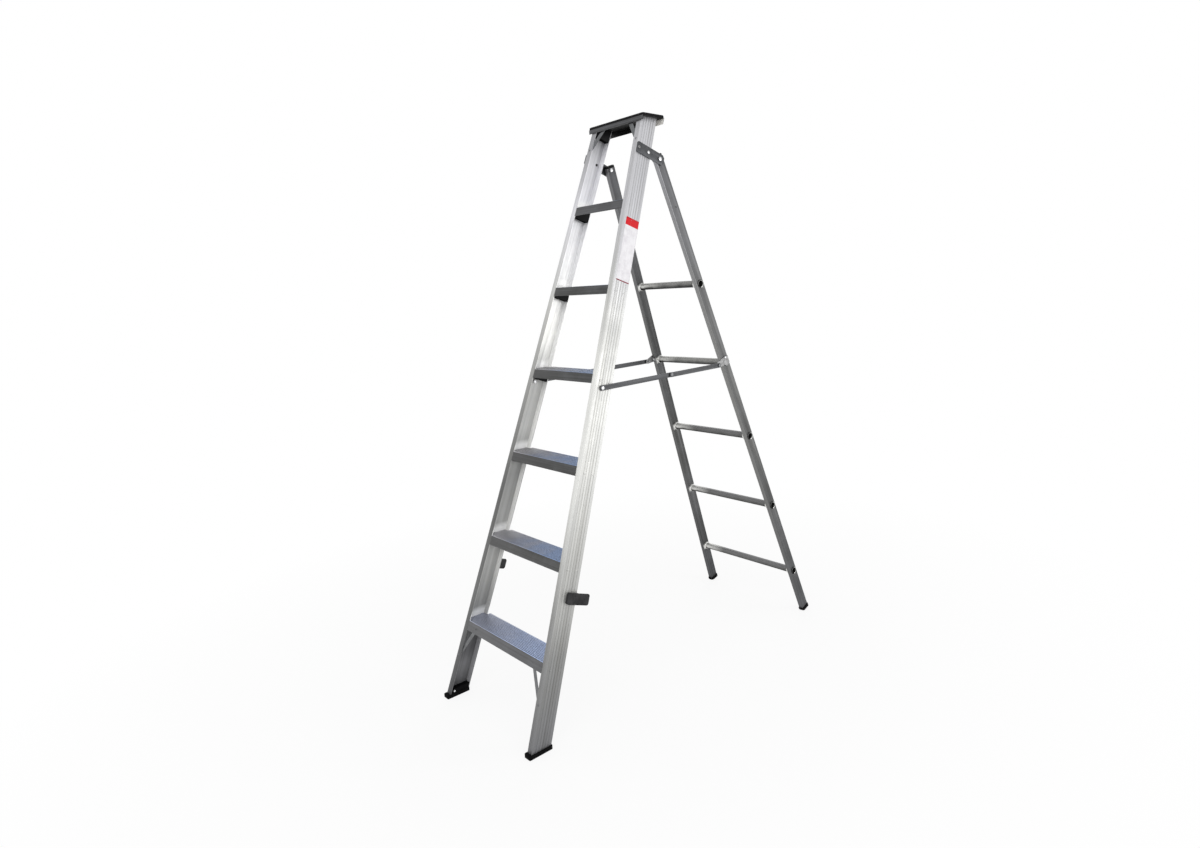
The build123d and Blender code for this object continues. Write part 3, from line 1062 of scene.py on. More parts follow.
@dataclass(frozen=True)
class DustyRubber:
    """Black rubber, paler with dust towards the floor.

    Attributes:
        name: Name of the material.
        dark: Clean colour.
        dust: Colour of the dust.
        reach: Height in metres up to which dust lies.
        share: Most of the dust that shows.
        roughness: Range of the roughness.
        specular: Level of the mirror reflection.
    """

    name: str
    dark: Colour = (0.003, 0.003, 0.0033)
    dust: Colour = (0.10, 0.095, 0.09)
    reach: float = 0.03
    share: float = 0.03
    roughness: Pair = (0.62, 0.82)
    specular: float = 0.03

    def material(self) -> Material:
        """Build the material.

        Returns:
            The material.
        """
        shader = Shader(self.name)
        patches = shader.noise(scale=60.0, detail=5.0, rough=0.65)
        low = shader.span(shader.height(), (0, self.reach), (self.share, 0))
        dusty = shader.sum(low, "MULTIPLY", shader.span(patches, (0.35, 0.65), (0, 1)))
        paler = tuple(2 * part for part in self.dark)
        clean = shader.ramp(patches, [(0.35, self.dark), (0.75, paler)])
        shader.paint(shader.tint(dusty, clean, self.dust))
        shader.gloss(shader.span(patches, NOISE, self.roughness))
        fine = shader.noise(scale=700.0, detail=3.0, rough=0.6)
        shader.relief(fine, depth=1e-4, strength=0.6)
        shader.fix(Specular_IOR_Level=self.specular)
        return shader.material


@dataclass(frozen=True)
class DullSteel:
    """Flat-rolled steel, mottled and scuffed.

    Attributes:
        name: Name of the material.
        dark: Colour of the darker patches.
        light: Colour of the lighter patches.
        roughness: Range of the roughness.
        metallic: Share of the metal in the surface.
        patch: Cells per metre of the mottling.
        specular: Level of the mirror reflection of what is not bare metal.
    """

    name: str
    dark: Colour
    light: Colour
    roughness: Pair = (0.35, 0.55)
    metallic: float = 0.85
    patch: float = 70.0
    specular: float = 0.5

    def material(self) -> Material:
        """Build the material.

        Returns:
            The material.
        """
        shader = Shader(self.name)
        mottle = shader.noise(scale=self.patch, detail=6.0, rough=0.65)
        scuff = shader.lines((300, 30, 120))
        metal = shader.ramp(mottle, [(0.3, self.dark), (0.72, self.light)])
        shader.paint(shader.tint(shader.span(scuff, (0.55, 0.75), (0, 0.25)), metal, self.light))
        shader.gloss(shader.span(mottle, NOISE, self.roughness))
        shader.relief(scuff, depth=3e-5, strength=0.5)
        shader.fix(Metallic=self.metallic, Specular_IOR_Level=self.specular)
        return shader.material


@dataclass(frozen=True)
class PrintedFilm:
    """Blank self-adhesive film: a pale field, a plain band on top and a thin line below.

    Attributes:
        name: Name of the material.
        field: Colour of the field.
        aged: Colour of the field where it has yellowed.
        band: Colour of the band.
        line: Colour of the thin line.
        band_at: Where the band starts, as shares of the film's length.
        line_at: Where the line ends, as shares of the film's length.
        roughness: Range of the roughness.
        specular: Level of the mirror reflection.
    """

    name: str
    field: Colour = (0.76, 0.75, 0.77)
    aged: Colour = (0.62, 0.60, 0.63)
    band: Colour = (0.58, 0.008, 0.014)
    line: Colour = (0.25, 0.02, 0.04)
    band_at: Pair = (0.874, 0.878)
    line_at: Pair = (0.018, 0.013)
    roughness: Pair = (0.3, 0.5)
    specular: float = 0.2

    def material(self) -> Material:
        """Build the material.

        Returns:
            The material.
        """
        shader = Shader(self.name)
        along = shader.axis("Y", "UV")
        stain = shader.noise(scale=40.0, detail=5.0, rough=0.6)
        sheet = shader.ramp(stain, [(0.4, self.field), (0.75, self.aged)])
        sheet = shader.tint(shader.span(along, self.band_at, (0, 1)), sheet, self.band)
        shader.paint(shader.tint(shader.span(along, self.line_at, (0, 1)), sheet, self.line))
        shader.gloss(shader.span(stain, NOISE, self.roughness))
        shader.relief(stain, depth=1e-4, strength=0.3)
        shader.fix(Specular_IOR_Level=self.specular)
        return shader.material


def levels(*steps: Pair) -> Levels:
    """Heights with a grey, as heights with a colour; the greys carry painted light and shade.

    Args:
        steps: Heights in metres and greys.

    Returns:
        Heights and colours: painted cool light at the top and the foot of the ladder, warm light
            between.
    """
    shaded = []
    for height, grey in steps:
        warm = 0.03 if 0.2 < height < 1.5 else -0.04
        shaded.append((height, (grey, grey, grey * (1 - warm))))
    return tuple(shaded)


class Palette:
    """Every finish on the ladder, made once."""

    # Greys by height for each face, with painted light and shade: each face of a stile or rail has
    # its own lit or shaded copy of the same metal, the left side is painted darker than the right,
    # and the insides are painted dark under the lowest tread and near white higher up.
    webs = levels(
        (0.0, 0.20), (0.28, 0.30), (0.40, 0.47), (0.55, 0.53), (0.75, 0.66), (0.95, 0.69),
        (1.30, 0.63), (1.60, 0.57), (1.87, 0.56), (2.05, 0.62),
    )
    insides = levels(
        (0.0, 0.12), (0.10, 0.18), (0.15, 0.09), (0.23, 0.08), (0.27, 0.30), (0.36, 0.38),
        (0.47, 0.48), (0.60, 0.48), (0.68, 0.38), (0.78, 0.32), (0.95, 0.58), (1.05, 0.55),
        (1.30, 0.97), (1.80, 0.97), (1.95, 0.80), (2.05, 0.80),
    )
    rears = levels(
        (0.0, 0.28), (0.18, 0.36), (0.345, 0.50), (0.44, 0.85), (0.76, 0.93), (1.0, 0.98),
        (2.05, 0.98),
    )
    flanges = {
        Side.LEFT: levels(
            (0.0, 0.08), (0.40, 0.168), (0.75, 0.145), (1.15, 0.40), (1.45, 0.65), (1.75, 0.77),
            (2.0, 0.36),
        ),
        Side.RIGHT: levels(
            (0.0, 0.19), (0.40, 0.345), (0.75, 0.85), (1.15, 0.93), (1.45, 0.60), (1.75, 0.62),
            (2.05, 0.50),
        ),
    }
    rail_outers = levels((0.0, 0.07), (0.6, 0.085), (1.2, 0.105), (1.9, 0.138))
    rail_fronts = {
        Side.LEFT: levels((0.0, 0.04), (0.6, 0.11), (1.2, 0.15), (1.9, 0.22)),
        Side.RIGHT: levels((0.0, 0.09), (0.6, 0.20), (1.2, 0.29), (1.9, 0.42)),
    }
    rail_insides = levels((0.0, 0.03), (0.5, 0.085), (1.3, 0.04), (1.9, 0.08))
    lips = levels((0.2, 0.145), (0.56, 0.085), (0.86, 0.07), (1.46, 0.056), (1.76, 0.084))
    caps = levels((0.0, 0.05), (2.0, 0.063))

    def __init__(self) -> None:
        """Build the materials."""
        self.stile: dict[Side, Material] = {}
        self.stile_front: dict[Side, Material] = {}
        self.stile_inner: dict[Side, Material] = {}
        self.stile_rear: dict[Side, Material] = {}
        self.rail: dict[Side, Material] = {}
        self.rail_front: dict[Side, Material] = {}
        self.rail_inner: dict[Side, Material] = {}
        for side in Side:
            self.add_stile(side)
            self.add_rail(side)
        self.tread = DrawnAluminium("tread", self.lips, grain=(3, 500, 500)).material()
        self.deck = RibbedDeck(
            "deck", (0.42, 0.42, 0.48), (0.24, 0.34, 0.56), (0.15, 0.17, 0.22)
        ).material()
        self.rung = self.round_bar()
        self.cap = DrawnAluminium("cap", self.caps, grain=(4, 400, 400)).material()
        self.strap = DullSteel("strap", (0.14, 0.143, 0.147), (0.23, 0.235, 0.24)).material()
        self.dark_strap = DullSteel(
            "dark_strap", (0.11, 0.115, 0.12), (0.19, 0.195, 0.2)
        ).material()
        # The beads are pale enough to carry a painted highlight.
        self.bead = DullSteel("bead", (0.62, 0.62, 0.60), (0.92, 0.92, 0.90)).material()
        # Painted highlight for the lit end of the cap's rear lip.
        self.wear_and_sheen = DullSteel(
            "wear_and_sheen", (0.72, 0.70, 0.66), (0.95, 0.93, 0.88), metallic=0.2
        ).material()
        self.bracket = DullSteel("bracket", (0.12, 0.12, 0.12), (0.38, 0.38, 0.38)).material()
        self.bar = DullSteel("bar", (0.062, 0.063, 0.066), (0.10, 0.102, 0.107)).material()
        self.shade = DullSteel(
            "shade", (0.008, 0.008, 0.008), (0.02, 0.02, 0.02), metallic=0.0, specular=0.05
        ).material()
        self.steel = DullSteel("dark_steel", (0.06, 0.062, 0.066), (0.115, 0.118, 0.125)).material()
        self.zinc = DullSteel(
            "zinc", (0.50, 0.51, 0.53), (0.80, 0.80, 0.80), (0.22, 0.4), 1.0, 220.0
        ).material()
        self.plastic = MouldedPlastic("plastic").material()
        self.guide = MouldedPlastic("guide", (0.018, 0.018, 0.019), (0.05, 0.05, 0.052)).material()
        self.pad = MouldedPlastic("pad", roughness=(0.55, 0.75), grain=520.0).material()
        self.rubber = DustyRubber("rubber").material()
        self.film = PrintedFilm("film").material()

    def add_stile(self, side: Side) -> None:
        """Finishes of a stile, one per face, each with painted light and shade of its own: grooved
        web, front flange, inside of the web, rear flange.

        Args:
            side: Side of the ladder.
        """
        stile, word = OUTLINE.stile, side.word
        lay = stile.turn(side)
        middle = stile.back.dot(stile.origin) + OUTLINE.groove_back
        flutes = Flutes(mirrored(stile.back, side), middle)
        # Painted highlights on the inside of the web at the level of each tread.
        spots = PaintedHighlights(
            UP,
            OUTLINE.first_tread,
            OUTLINE.tread_pitch,
            half=0.028,
            colour=(0.97, 0.97, 0.96),
            share=0.9,
        )
        self.stile[side] = DrawnAluminium(f"stile_{word}", self.webs, lay, flutes=flutes).material()
        self.stile_front[side] = DrawnAluminium(
            f"stile_front_{word}", self.flanges[side], lay
        ).material()
        self.stile_inner[side] = DrawnAluminium(
            f"stile_inner_{word}",
            self.insides,
            lay,
            metallic=0.2,
            specular=0.3,
            spots=spots,
            cleaner=(1.10, 1.30),
        ).material()
        self.stile_rear[side] = DrawnAluminium(
            f"stile_rear_{word}", self.rears, lay, metallic=0.1, stain=0.1, specular=0.3
        ).material()

    def add_rail(self, side: Side) -> None:
        """Finishes of a rear rail, one per face, each with painted light and shade of its own:
        outer and rear faces, front face, inner face.

        Args:
            side: Side of the ladder.
        """
        rail = OUTLINE.rail
        first = rail.along.dot(rail.origin) + OUTLINE.first_rung
        # Painted highlights on the inner face of the rail at each rung.
        spots = PaintedHighlights(mirrored(rail.along, side), first, OUTLINE.rung_pitch)
        for shelf, kind, tones, bright in (
            (self.rail, "rail", self.rail_outers, None),
            (self.rail_front, "rail_front", self.rail_fronts[side], None),
            (self.rail_inner, "rail_inner", self.rail_insides, spots),
        ):
            shelf[side] = DrawnAluminium(
                f"{kind}_{side.word}",
                tones,
                rail.turn(side),
                roughness=(0.4, 0.55),
                specular=0.2,
                spots=bright,
            ).material()

    def round_bar(self) -> Material:
        """Finish of the rungs, which follow each other down the slope of the rear frame.

        Returns:
            The material.
        """
        rail = OUTLINE.rail
        down = Vector((0, rail.along.y, rail.along.z)).normalized()
        fall = down.dot(rail.along)
        first = down.dot(rail.origin) + OUTLINE.first_rung * fall
        pitch = OUTLINE.rung_pitch * fall
        return RoundBar("rung", down, first, pitch, OUTLINE.rung_radius).material()


def dress(
    piece: Piece, material: Material, body: Body, stands_for: str | None = None
) -> None:
    """Finish a piece: its material, its body and the solid it stands for.

    Args:
        piece: The piece, in place.
        material: Its finish.
        body: Body that it rides on.
        stands_for: Solid that it replaces, if any.
    """
    piece.data.materials.clear()
    piece.data.materials.append(material)
    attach(piece, body.value)
    if stands_for:
        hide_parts(stands_for)
    log.info("%s: %d faces on %s", piece.name, len(piece.data.polygons), body.value)


def refinish(node: str, edge: Edge, material: Material, body: Body) -> Piece:
    """Replace a solid by its rounded copy in a finish.

    Args:
        node: Name of the solid.
        edge: Rounding of its edges.
        material: Its finish.
        body: Body that it rides on.

    Returns:
        The copy.
    """
    piece = rounded_copy(node, edge)
    dress(piece, material, body, node)
    return piece


def facing(direction: Vector, share: float = FACING) -> FaceTest:
    """Test for faces that are turned to a direction.

    Args:
        direction: The direction, of unit length.
        share: Least share of it in a face's normal.

    Returns:
        The test, which takes a face's centre and normal.
    """
    return lambda centre, normal: normal.dot(direction) > share


def paint_faces(piece: Piece, material: Material, test: FaceTest) -> None:
    """Give some faces of a piece a finish of their own.

    Args:
        piece: The piece.
        material: Finish of the faces.
        test: Takes a face's centre and normal.
    """
    piece.data.materials.append(material)
    index = len(piece.data.materials) - 1
    for face in piece.data.polygons:
        if test(face.center, face.normal):
            face.material_index = index


# Fasteners


@dataclass(frozen=True)
class BlindRivet:
    """Domed rivet with the hollow of its drawn-off pin.

    Attributes:
        radius: Radius of the head.
        height: Height of the head.
        rim: Height of its straight side, as a share of the height.
        dome: Steps of the dome: inwards as shares of the radius, up as shares of the height.
        hollow: Lip of the hollow as a share of the radius, its depth as one of the height.
        sides: Sides of the circle.
    """

    radius: float
    height: float
    rim: float = 0.35
    dome: tuple[Pair, ...] = ((0.25, 0.38), (0.25, 0.2), (0.2, 0.07))
    hollow: Pair = (0.05, 0.4)
    sides: int = 20

    def model(self) -> Piece:
        """Model the head standing on the origin.

        Returns:
            The model.
        """
        crown = self.rim * self.height
        piece = fresh(
            bpy.ops.mesh.primitive_cylinder_add,
            "rivet",
            vertices=self.sides,
            radius=self.radius,
            depth=2 * crown,
            location=(0, 0, 0),
        )
        for inwards, up in self.dome:
            pick_top(piece, crown)
            bpy.ops.mesh.inset(thickness=inwards * self.radius, depth=up * self.height)
            crown += up * self.height
        pick_top(piece, crown)
        lip, depth = self.hollow
        bpy.ops.mesh.inset(thickness=lip * self.radius, depth=-depth * self.height)
        return close(piece)


@dataclass(frozen=True)
class CapNutTail:
    """Black sleeve pushed over the tail of a bolt.

    Attributes:
        radius: Radius at its foot.
        length: Length.
        foot: Length of the foot, as a share of the length.
        step: Width of the step over the foot, as a share of the radius.
        shank: Length of the shank, as a share of the length.
        tip: Steps of the tip: inwards as shares of the radius, up as shares of the length.
        sides: Sides of the circle.
    """

    radius: float = 0.005
    length: float = 0.014
    foot: float = 0.2
    step: float = 0.2
    shank: float = 0.7
    tip: tuple[Pair, ...] = ((0.25, 0.07), (0.2, 0.03))
    sides: int = 20

    def model(self) -> Piece:
        """Model it standing on the origin.

        Returns:
            The model.
        """
        foot = self.foot * self.length
        piece = fresh(
            bpy.ops.mesh.primitive_cylinder_add,
            "sleeve",
            vertices=self.sides,
            radius=self.radius,
            depth=foot,
            location=(0, 0, foot / 2),
        )
        pick_top(piece, foot)
        bpy.ops.mesh.inset(thickness=self.step * self.radius, depth=0)
        rise = (0, 0, self.shank * self.length)
        bpy.ops.mesh.extrude_region_move(TRANSFORM_OT_translate={"value": rise})
        for inwards, up in self.tip:
            bpy.ops.mesh.inset(thickness=inwards * self.radius, depth=up * self.length)
        return close(piece)


@dataclass(frozen=True)
class SwagedRing:
    """Bead of a tube's end, rolled down on a wall.

    Attributes:
        inner: Radius of the tube.
        outer: Radius of the bead.
        height: Height of the bead over the wall.
        root: How far it goes into the wall, as a share of the height.
        sides: Sides of the ring and of its section.
    """

    inner: float
    outer: float
    height: float
    root: float = 0.2
    sides: tuple[int, int] = (40, 12)

    def model(self) -> Piece:
        """Model it standing on the origin.

        Returns:
            The model.
        """
        half = (self.outer - self.inner) / 2
        around, section = self.sides
        piece = fresh(
            bpy.ops.mesh.primitive_torus_add,
            "ring",
            major_segments=around,
            minor_segments=section,
            major_radius=(self.inner + self.outer) / 2,
            minor_radius=half,
        )
        bpy.ops.mesh.select_all(action="SELECT")
        bpy.ops.transform.resize(value=(1, 1, self.height / half))
        foot = (0, 0, -self.root * self.height)
        bpy.ops.mesh.bisect(plane_co=foot, plane_no=UP, clear_inner=True, use_fill=False)
        return close(piece)


Fastener = BlindRivet | CapNutTail | SwagedRing


def fasten(
    pattern: Fastener,
    name: str,
    places: Iterable[Matrix],
    material: Material,
    body: Body,
) -> Piece:
    """Put copies of a fastener in place, as one dressed piece.

    Args:
        pattern: The fastener.
        name: Name of the piece.
        places: Placements of the copies.
        material: Its finish.
        body: Body that it rides on.

    Returns:
        The piece.
    """
    piece = spread(pattern.model(), name, places)
    dress(piece, material, body)
    return piece


# Sub-assemblies


@dataclass
class Stiles:
    """The two channels, their label and the guides that take the folded rails.

    Attributes:
        palette: Finishes.
        skin: Depth behind the front edge within which a face is one of the front flange.
        rear_back: Depth behind that from which a face is one of the rear flange.
        tread_rivet: Rivet of the treads.
        rivet_backs: Places of the tread rivets across the web.
        rivet_rise: Height of the rivets over the foot of a bracket, along the stile.
        bracket_drop: Height of the treads over the feet of their brackets.
        treads: How many treads.
        film_back: Span of the label across the web.
        film_along: Span of the label along the stile.
        film_sink: How far the label sinks into the grooves.
        film_thickness: Thickness of the label.
        film_gap: Height of the label over the web.
        film_cells: Faces of the label across and along.
        guide_rivet: Rivet of the guides.
        guide_along: Middle of a guide along the stile.
        guide_face: Height of a guide's outer face over the web.
        guide_rivets: Places of a guide's rivets, across and along from its middle.
    """

    palette: Palette
    skin: float = 0.002
    rear_back: float = 0.06
    tread_rivet: BlindRivet = BlindRivet(0.0042, 0.0011)
    rivet_backs: Pair = (0.018, 0.054)
    rivet_rise: float = 0.015
    bracket_drop: float = 0.032
    treads: int = 6
    film_back: Pair = (0.010, 0.070)
    film_along: Pair = (1.587, 1.821)
    film_sink: float = 0.00025
    film_thickness: float = 0.00012
    film_gap: float = 0.00006
    film_cells: tuple[int, int] = (75, 24)
    guide_rivet: BlindRivet = BlindRivet(0.0036, 0.0012)
    guide_along: float = 0.498
    guide_face: float = 0.0105
    guide_rivets: tuple[Pair, ...] = ((0.040, 0.0), (0.060, 0.011), (0.060, -0.011))

    def build(self) -> None:
        """Build and dress everything."""
        for side in Side:
            self.channel(side)
            refinish(
                f"closing_guide_{side.word}",
                Edge.SOFT,
                self.palette.guide,
                Body.FRONT,
            )
        self.rivets()
        self.label()

    def channel(self, side: Side) -> None:
        """A stile whose front flange, inside of the web and rear flange get painted light and shade
        of their own.

        Args:
            side: Side of the ladder.
        """
        palette, stile = self.palette, OUTLINE.stile
        channel = refinish(
            f"stile_{side.word}", Edge.CRISP, palette.stile[side], Body.FRONT
        )
        inward = -mirrored(stile.outward, side)
        front = -mirrored(stile.back, side)
        edge = front.dot(mirrored(stile.origin, side)) - self.skin
        rear = edge - self.rear_back
        forward = facing(front)
        paint_faces(channel, palette.stile_inner[side], facing(inward, SQUARE))
        paint_faces(
            channel,
            palette.stile_rear[side],
            lambda centre, normal: forward(centre, normal) and centre.dot(front) < rear,
        )
        paint_faces(
            channel,
            palette.stile_front[side],
            lambda centre, normal: forward(centre, normal) and centre.dot(front) > edge,
        )

    def rivets(self) -> None:
        """Rivets of the treads and of the guides."""
        stile = OUTLINE.stile
        first = OUTLINE.first_tread - self.bracket_drop
        feet = [first + number * OUTLINE.tread_pitch for number in range(self.treads)]
        for side in Side:
            fasten(
                self.tread_rivet,
                f"tread_rivets_{side.word}",
                [
                    stile.seat(side, back, OUTLINE.along_at(foot) + self.rivet_rise)
                    for foot in feet
                    for back in self.rivet_backs
                ],
                self.palette.stile[side],
                Body.FRONT,
            )
        fasten(
            self.guide_rivet,
            "guide_rivets",
            [
                stile.seat(side, back, self.guide_along + along, self.guide_face)
                for side in Side
                for back, along in self.guide_rivets
            ],
            self.palette.guide,
            Body.FRONT,
        )

    def label(self) -> None:
        """Blank film on the right stile, sunk a little into the grooves of the web."""
        width = self.film_back[1] - self.film_back[0]
        length = self.film_along[1] - self.film_along[0]
        middle = sum(self.film_back) / 2
        across, along = self.film_cells
        piece = fresh(
            bpy.ops.mesh.primitive_grid_add,
            "label_film",
            x_subdivisions=across,
            y_subdivisions=along,
            size=1.0,
        )
        bpy.ops.mesh.select_all(action="SELECT")
        bpy.ops.transform.resize(value=(width, length, 1))
        pick_points(
            piece,
            lambda point: any(
                abs(point.x + middle - groove) < OUTLINE.groove_half for groove in OUTLINE.grooves
            ),
        )
        bpy.ops.transform.translate(value=(0, 0, -self.film_sink))
        close(piece)
        thickness = piece.modifiers.new("film", "SOLIDIFY")
        thickness.thickness = self.film_thickness
        thickness.offset = 1.0
        bpy.ops.object.modifier_apply(modifier=thickness.name)
        place = OUTLINE.stile.seat(Side.RIGHT, middle, sum(self.film_along) / 2, self.film_gap)
        piece.data.transform(place)
        dress(piece, self.palette.film, Body.FRONT)


@dataclass
class Treads:
    """The six treads, the moulded blocks under their ends and the knee braces.

    Attributes:
        palette: Finishes.
        count: How many treads.
        brace_foot: Height of the lower end of a knee brace.
        brace_rise: Height of its upper end over the lower.
        brace_reach: How far it reaches inwards.
        rivet: Rivet of the knee braces.
    """

    palette: Palette
    count: int = 6
    brace_foot: float = 0.151
    brace_rise: float = 0.104
    brace_reach: float = 0.070
    rivet: BlindRivet = BlindRivet(0.0036, 0.0012)

    def build(self) -> None:
        """Build and dress everything."""
        palette = self.palette
        for number in range(1, self.count + 1):
            tread = refinish(f"step_{number}", Edge.CRISP, palette.tread, Body.FRONT)
            paint_faces(tread, palette.deck, facing(UP, SLANTED))
            for side in Side:
                refinish(
                    f"step_bracket_{side.word}_{number}",
                    Edge.MOULDED,
                    palette.plastic,
                    Body.FRONT,
                )
        for side in Side:
            refinish(f"step_brace_{side.word}", Edge.FINE, palette.strap, Body.FRONT)
        self.rivets()

    def rivets(self) -> None:
        """Rivets at both ends of the knee braces."""
        feet = [OUTLINE.on_flange(side, self.brace_foot) for side in Side]
        fasten(self.rivet, "brace_foot_rivets", feet, self.palette.strap, Body.FRONT)
        height = self.brace_foot + self.brace_rise
        inner = OUTLINE.flange_middle(self.brace_foot) - self.brace_reach
        head = Vector((inner, OUTLINE.front_at(height), height))
        forward = Vector((0, -1, OUTLINE.lean))
        upward = Vector((0, OUTLINE.lean, 1))
        heads = [placement(mirrored(head, side), forward, upward) for side in Side]
        fasten(self.rivet, "brace_head_rivets", heads, self.palette.tread, Body.FRONT)


@dataclass
class Platform:
    """The folded cap, the ribbed pad on it, its blocks and its braces.

    Attributes:
        palette: Finishes.
        underside: Height of the cap's underside.
        slack: How far above it a face still counts as lying inside the cap.
        wall: Depth of the layer under that in which the cap's roof lies.
        brace_drop: Height of the cap over the lower ends of the braces.
        brace_reach: How far a brace reaches inwards.
        brace_thickness: Thickness of a brace.
        tab_back: Place of the tab's rivet behind the braces' plane.
        rear_lip: Depth of the cap that its rear lip takes up.
        shaded_to: How far to the right the rear lip has painted shade inside.
        rivet: Rivet of the braces.
    """

    palette: Palette
    underside: float = 2.0685
    slack: float = 0.0005
    wall: float = 0.002
    brace_drop: float = 0.078
    brace_reach: float = 0.062
    brace_thickness: float = 0.002
    tab_back: float = 0.016
    rear_lip: float = 0.013
    shaded_to: float = 0.105
    rivet: BlindRivet = BlindRivet(0.0036, 0.0014)

    def build(self) -> None:
        """Build and dress everything."""
        palette = self.palette
        self.cap()
        refinish("top_pad", Edge.MOULDED, palette.pad, Body.FRONT)
        for side in Side:
            refinish(
                f"cap_bracket_{side.word}",
                Edge.MOULDED,
                palette.plastic,
                Body.FRONT,
            )
            refinish(f"top_brace_{side.word}", Edge.FINE, palette.dark_strap, Body.FRONT)
        self.rivets()

    def cap(self) -> None:
        """The folded cap, with painted shade inside and a painted highlight on the right end of its
        rear lip.
        """
        cap = refinish("top_cap", Edge.FIRM, self.palette.cap, Body.FRONT)
        activate(cap)
        mode("EDIT")
        bpy.ops.mesh.select_all(action="SELECT")
        bpy.ops.mesh.bisect(plane_co=(self.shaded_to, 0, 0), plane_no=(1, 0, 0))
        mode("OBJECT")
        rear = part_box("top_cap")[1].y - self.rear_lip
        below = self.underside + self.slack
        roof = below - self.wall

        def inside_lip(centre: Vector, normal: Vector) -> bool:
            """Whether a face looks forward from the rear lip."""
            return centre.y > rear and normal.y < -GLANCING

        def dull(centre: Vector, normal: Vector) -> bool:
            """Whether a face gets painted shade: an end of the cap, its roof or the inside of its
            rear lip.
            """
            under_roof = normal.z < -SLANTED and centre.z > roof
            inside = centre.z < below and (under_roof or inside_lip(centre, normal))
            return abs(normal.x) > SLANTED or inside

        def wear_and_sheen(centre: Vector, normal: Vector) -> bool:
            """Whether a face is the right end of the rear lip, which gets a painted highlight."""
            end = centre.z < roof and centre.x > self.shaded_to
            return end and inside_lip(centre, normal)

        # Painted shade on the ends, roof and inside of the rear lip, and a painted highlight on the
        # right end of the rear lip.
        paint_faces(cap, self.palette.shade, dull)
        paint_faces(cap, self.palette.wear_and_sheen, wear_and_sheen)

    def rivets(self) -> None:
        """Rivets at both ends of the braces."""
        foot = self.underside - self.brace_drop
        level = self.underside - self.brace_thickness
        inner = OUTLINE.flange_middle(foot) - self.brace_reach
        tab = Vector((inner, OUTLINE.front_at(level) + self.tab_back, level))
        places = []
        for side in Side:
            places.append(OUTLINE.on_flange(side, foot))
            places.append(placement(mirrored(tab, side), -UP, Vector((0, 1, 0))))
        fasten(self.rivet, "platform_rivets", places, self.palette.strap, Body.FRONT)


@dataclass
class Hinges:
    """The two hinge plates with their bolts and the pivots of the rear rails.

    Attributes:
        palette: Finishes.
        along: Middle of the plates along the stile.
        plate: Thickness of a plate.
        bolt_backs: Places of the front and the rear bolts across the stile.
        head: Head of a bolt.
        sleeve: Sleeve on the tail of a bolt.
    """

    palette: Palette
    along: float = 2.08397
    plate: float = 0.004
    bolt_backs: Pair = (0.0095, 0.057)
    head: BlindRivet = BlindRivet(0.0058, 0.0026)
    sleeve: CapNutTail = CapNutTail()

    def build(self) -> None:
        """Build and dress everything."""
        palette, stile = self.palette, OUTLINE.stile
        for side in Side:
            refinish(f"hinge_plate_{side.word}", Edge.FIRM, palette.steel, Body.FRONT)
        refinish("hinge_pivots", Edge.FINE, palette.zinc, Body.FRONT)
        # The front bolt heads take the darker bracket finish as painted shade; the rear ones are
        # bright zinc.
        for row, back, finish in zip(
            ("front", "rear"), self.bolt_backs, (palette.bracket, palette.zinc)
        ):
            heads = [stile.seat(side, back, self.along, self.plate) for side in Side]
            fasten(self.head, f"hinge_bolt_heads_{row}", heads, finish, Body.FRONT)
        tails = [
            stile.seat(side, back, self.along, -OUTLINE.web, Face.INNER)
            for side in Side
            for back in self.bolt_backs
        ]
        fasten(self.sleeve, "hinge_bolt_sleeves", tails, palette.plastic, Body.FRONT)


@dataclass
class Shoes:
    """The four feet, with the rivets of the front pair.

    Attributes:
        palette: Finishes.
        rivet: Rivet of a front shoe.
        rivet_back: Place of a rivet across the stile.
        rivet_along: Place of a rivet along the stile.
    """

    palette: Palette
    rivet: BlindRivet = BlindRivet(0.0036, 0.0014)
    rivet_back: float = 0.014
    rivet_along: float = 0.0285

    def build(self) -> None:
        """Build and dress everything."""
        rubber = self.palette.rubber
        for side in Side:
            refinish(f"front_foot_{side.word}", Edge.SOFT, rubber, Body.FRONT)
            refinish(f"rear_foot_{side.word}", Edge.SOFT, rubber, Body.REAR)
        places = [
            OUTLINE.stile.seat(side, self.rivet_back, self.rivet_along, -OUTLINE.flange, Face.INNER)
            for side in Side
        ]
        fasten(self.rivet, "shoe_rivets", places, self.palette.zinc, Body.FRONT)


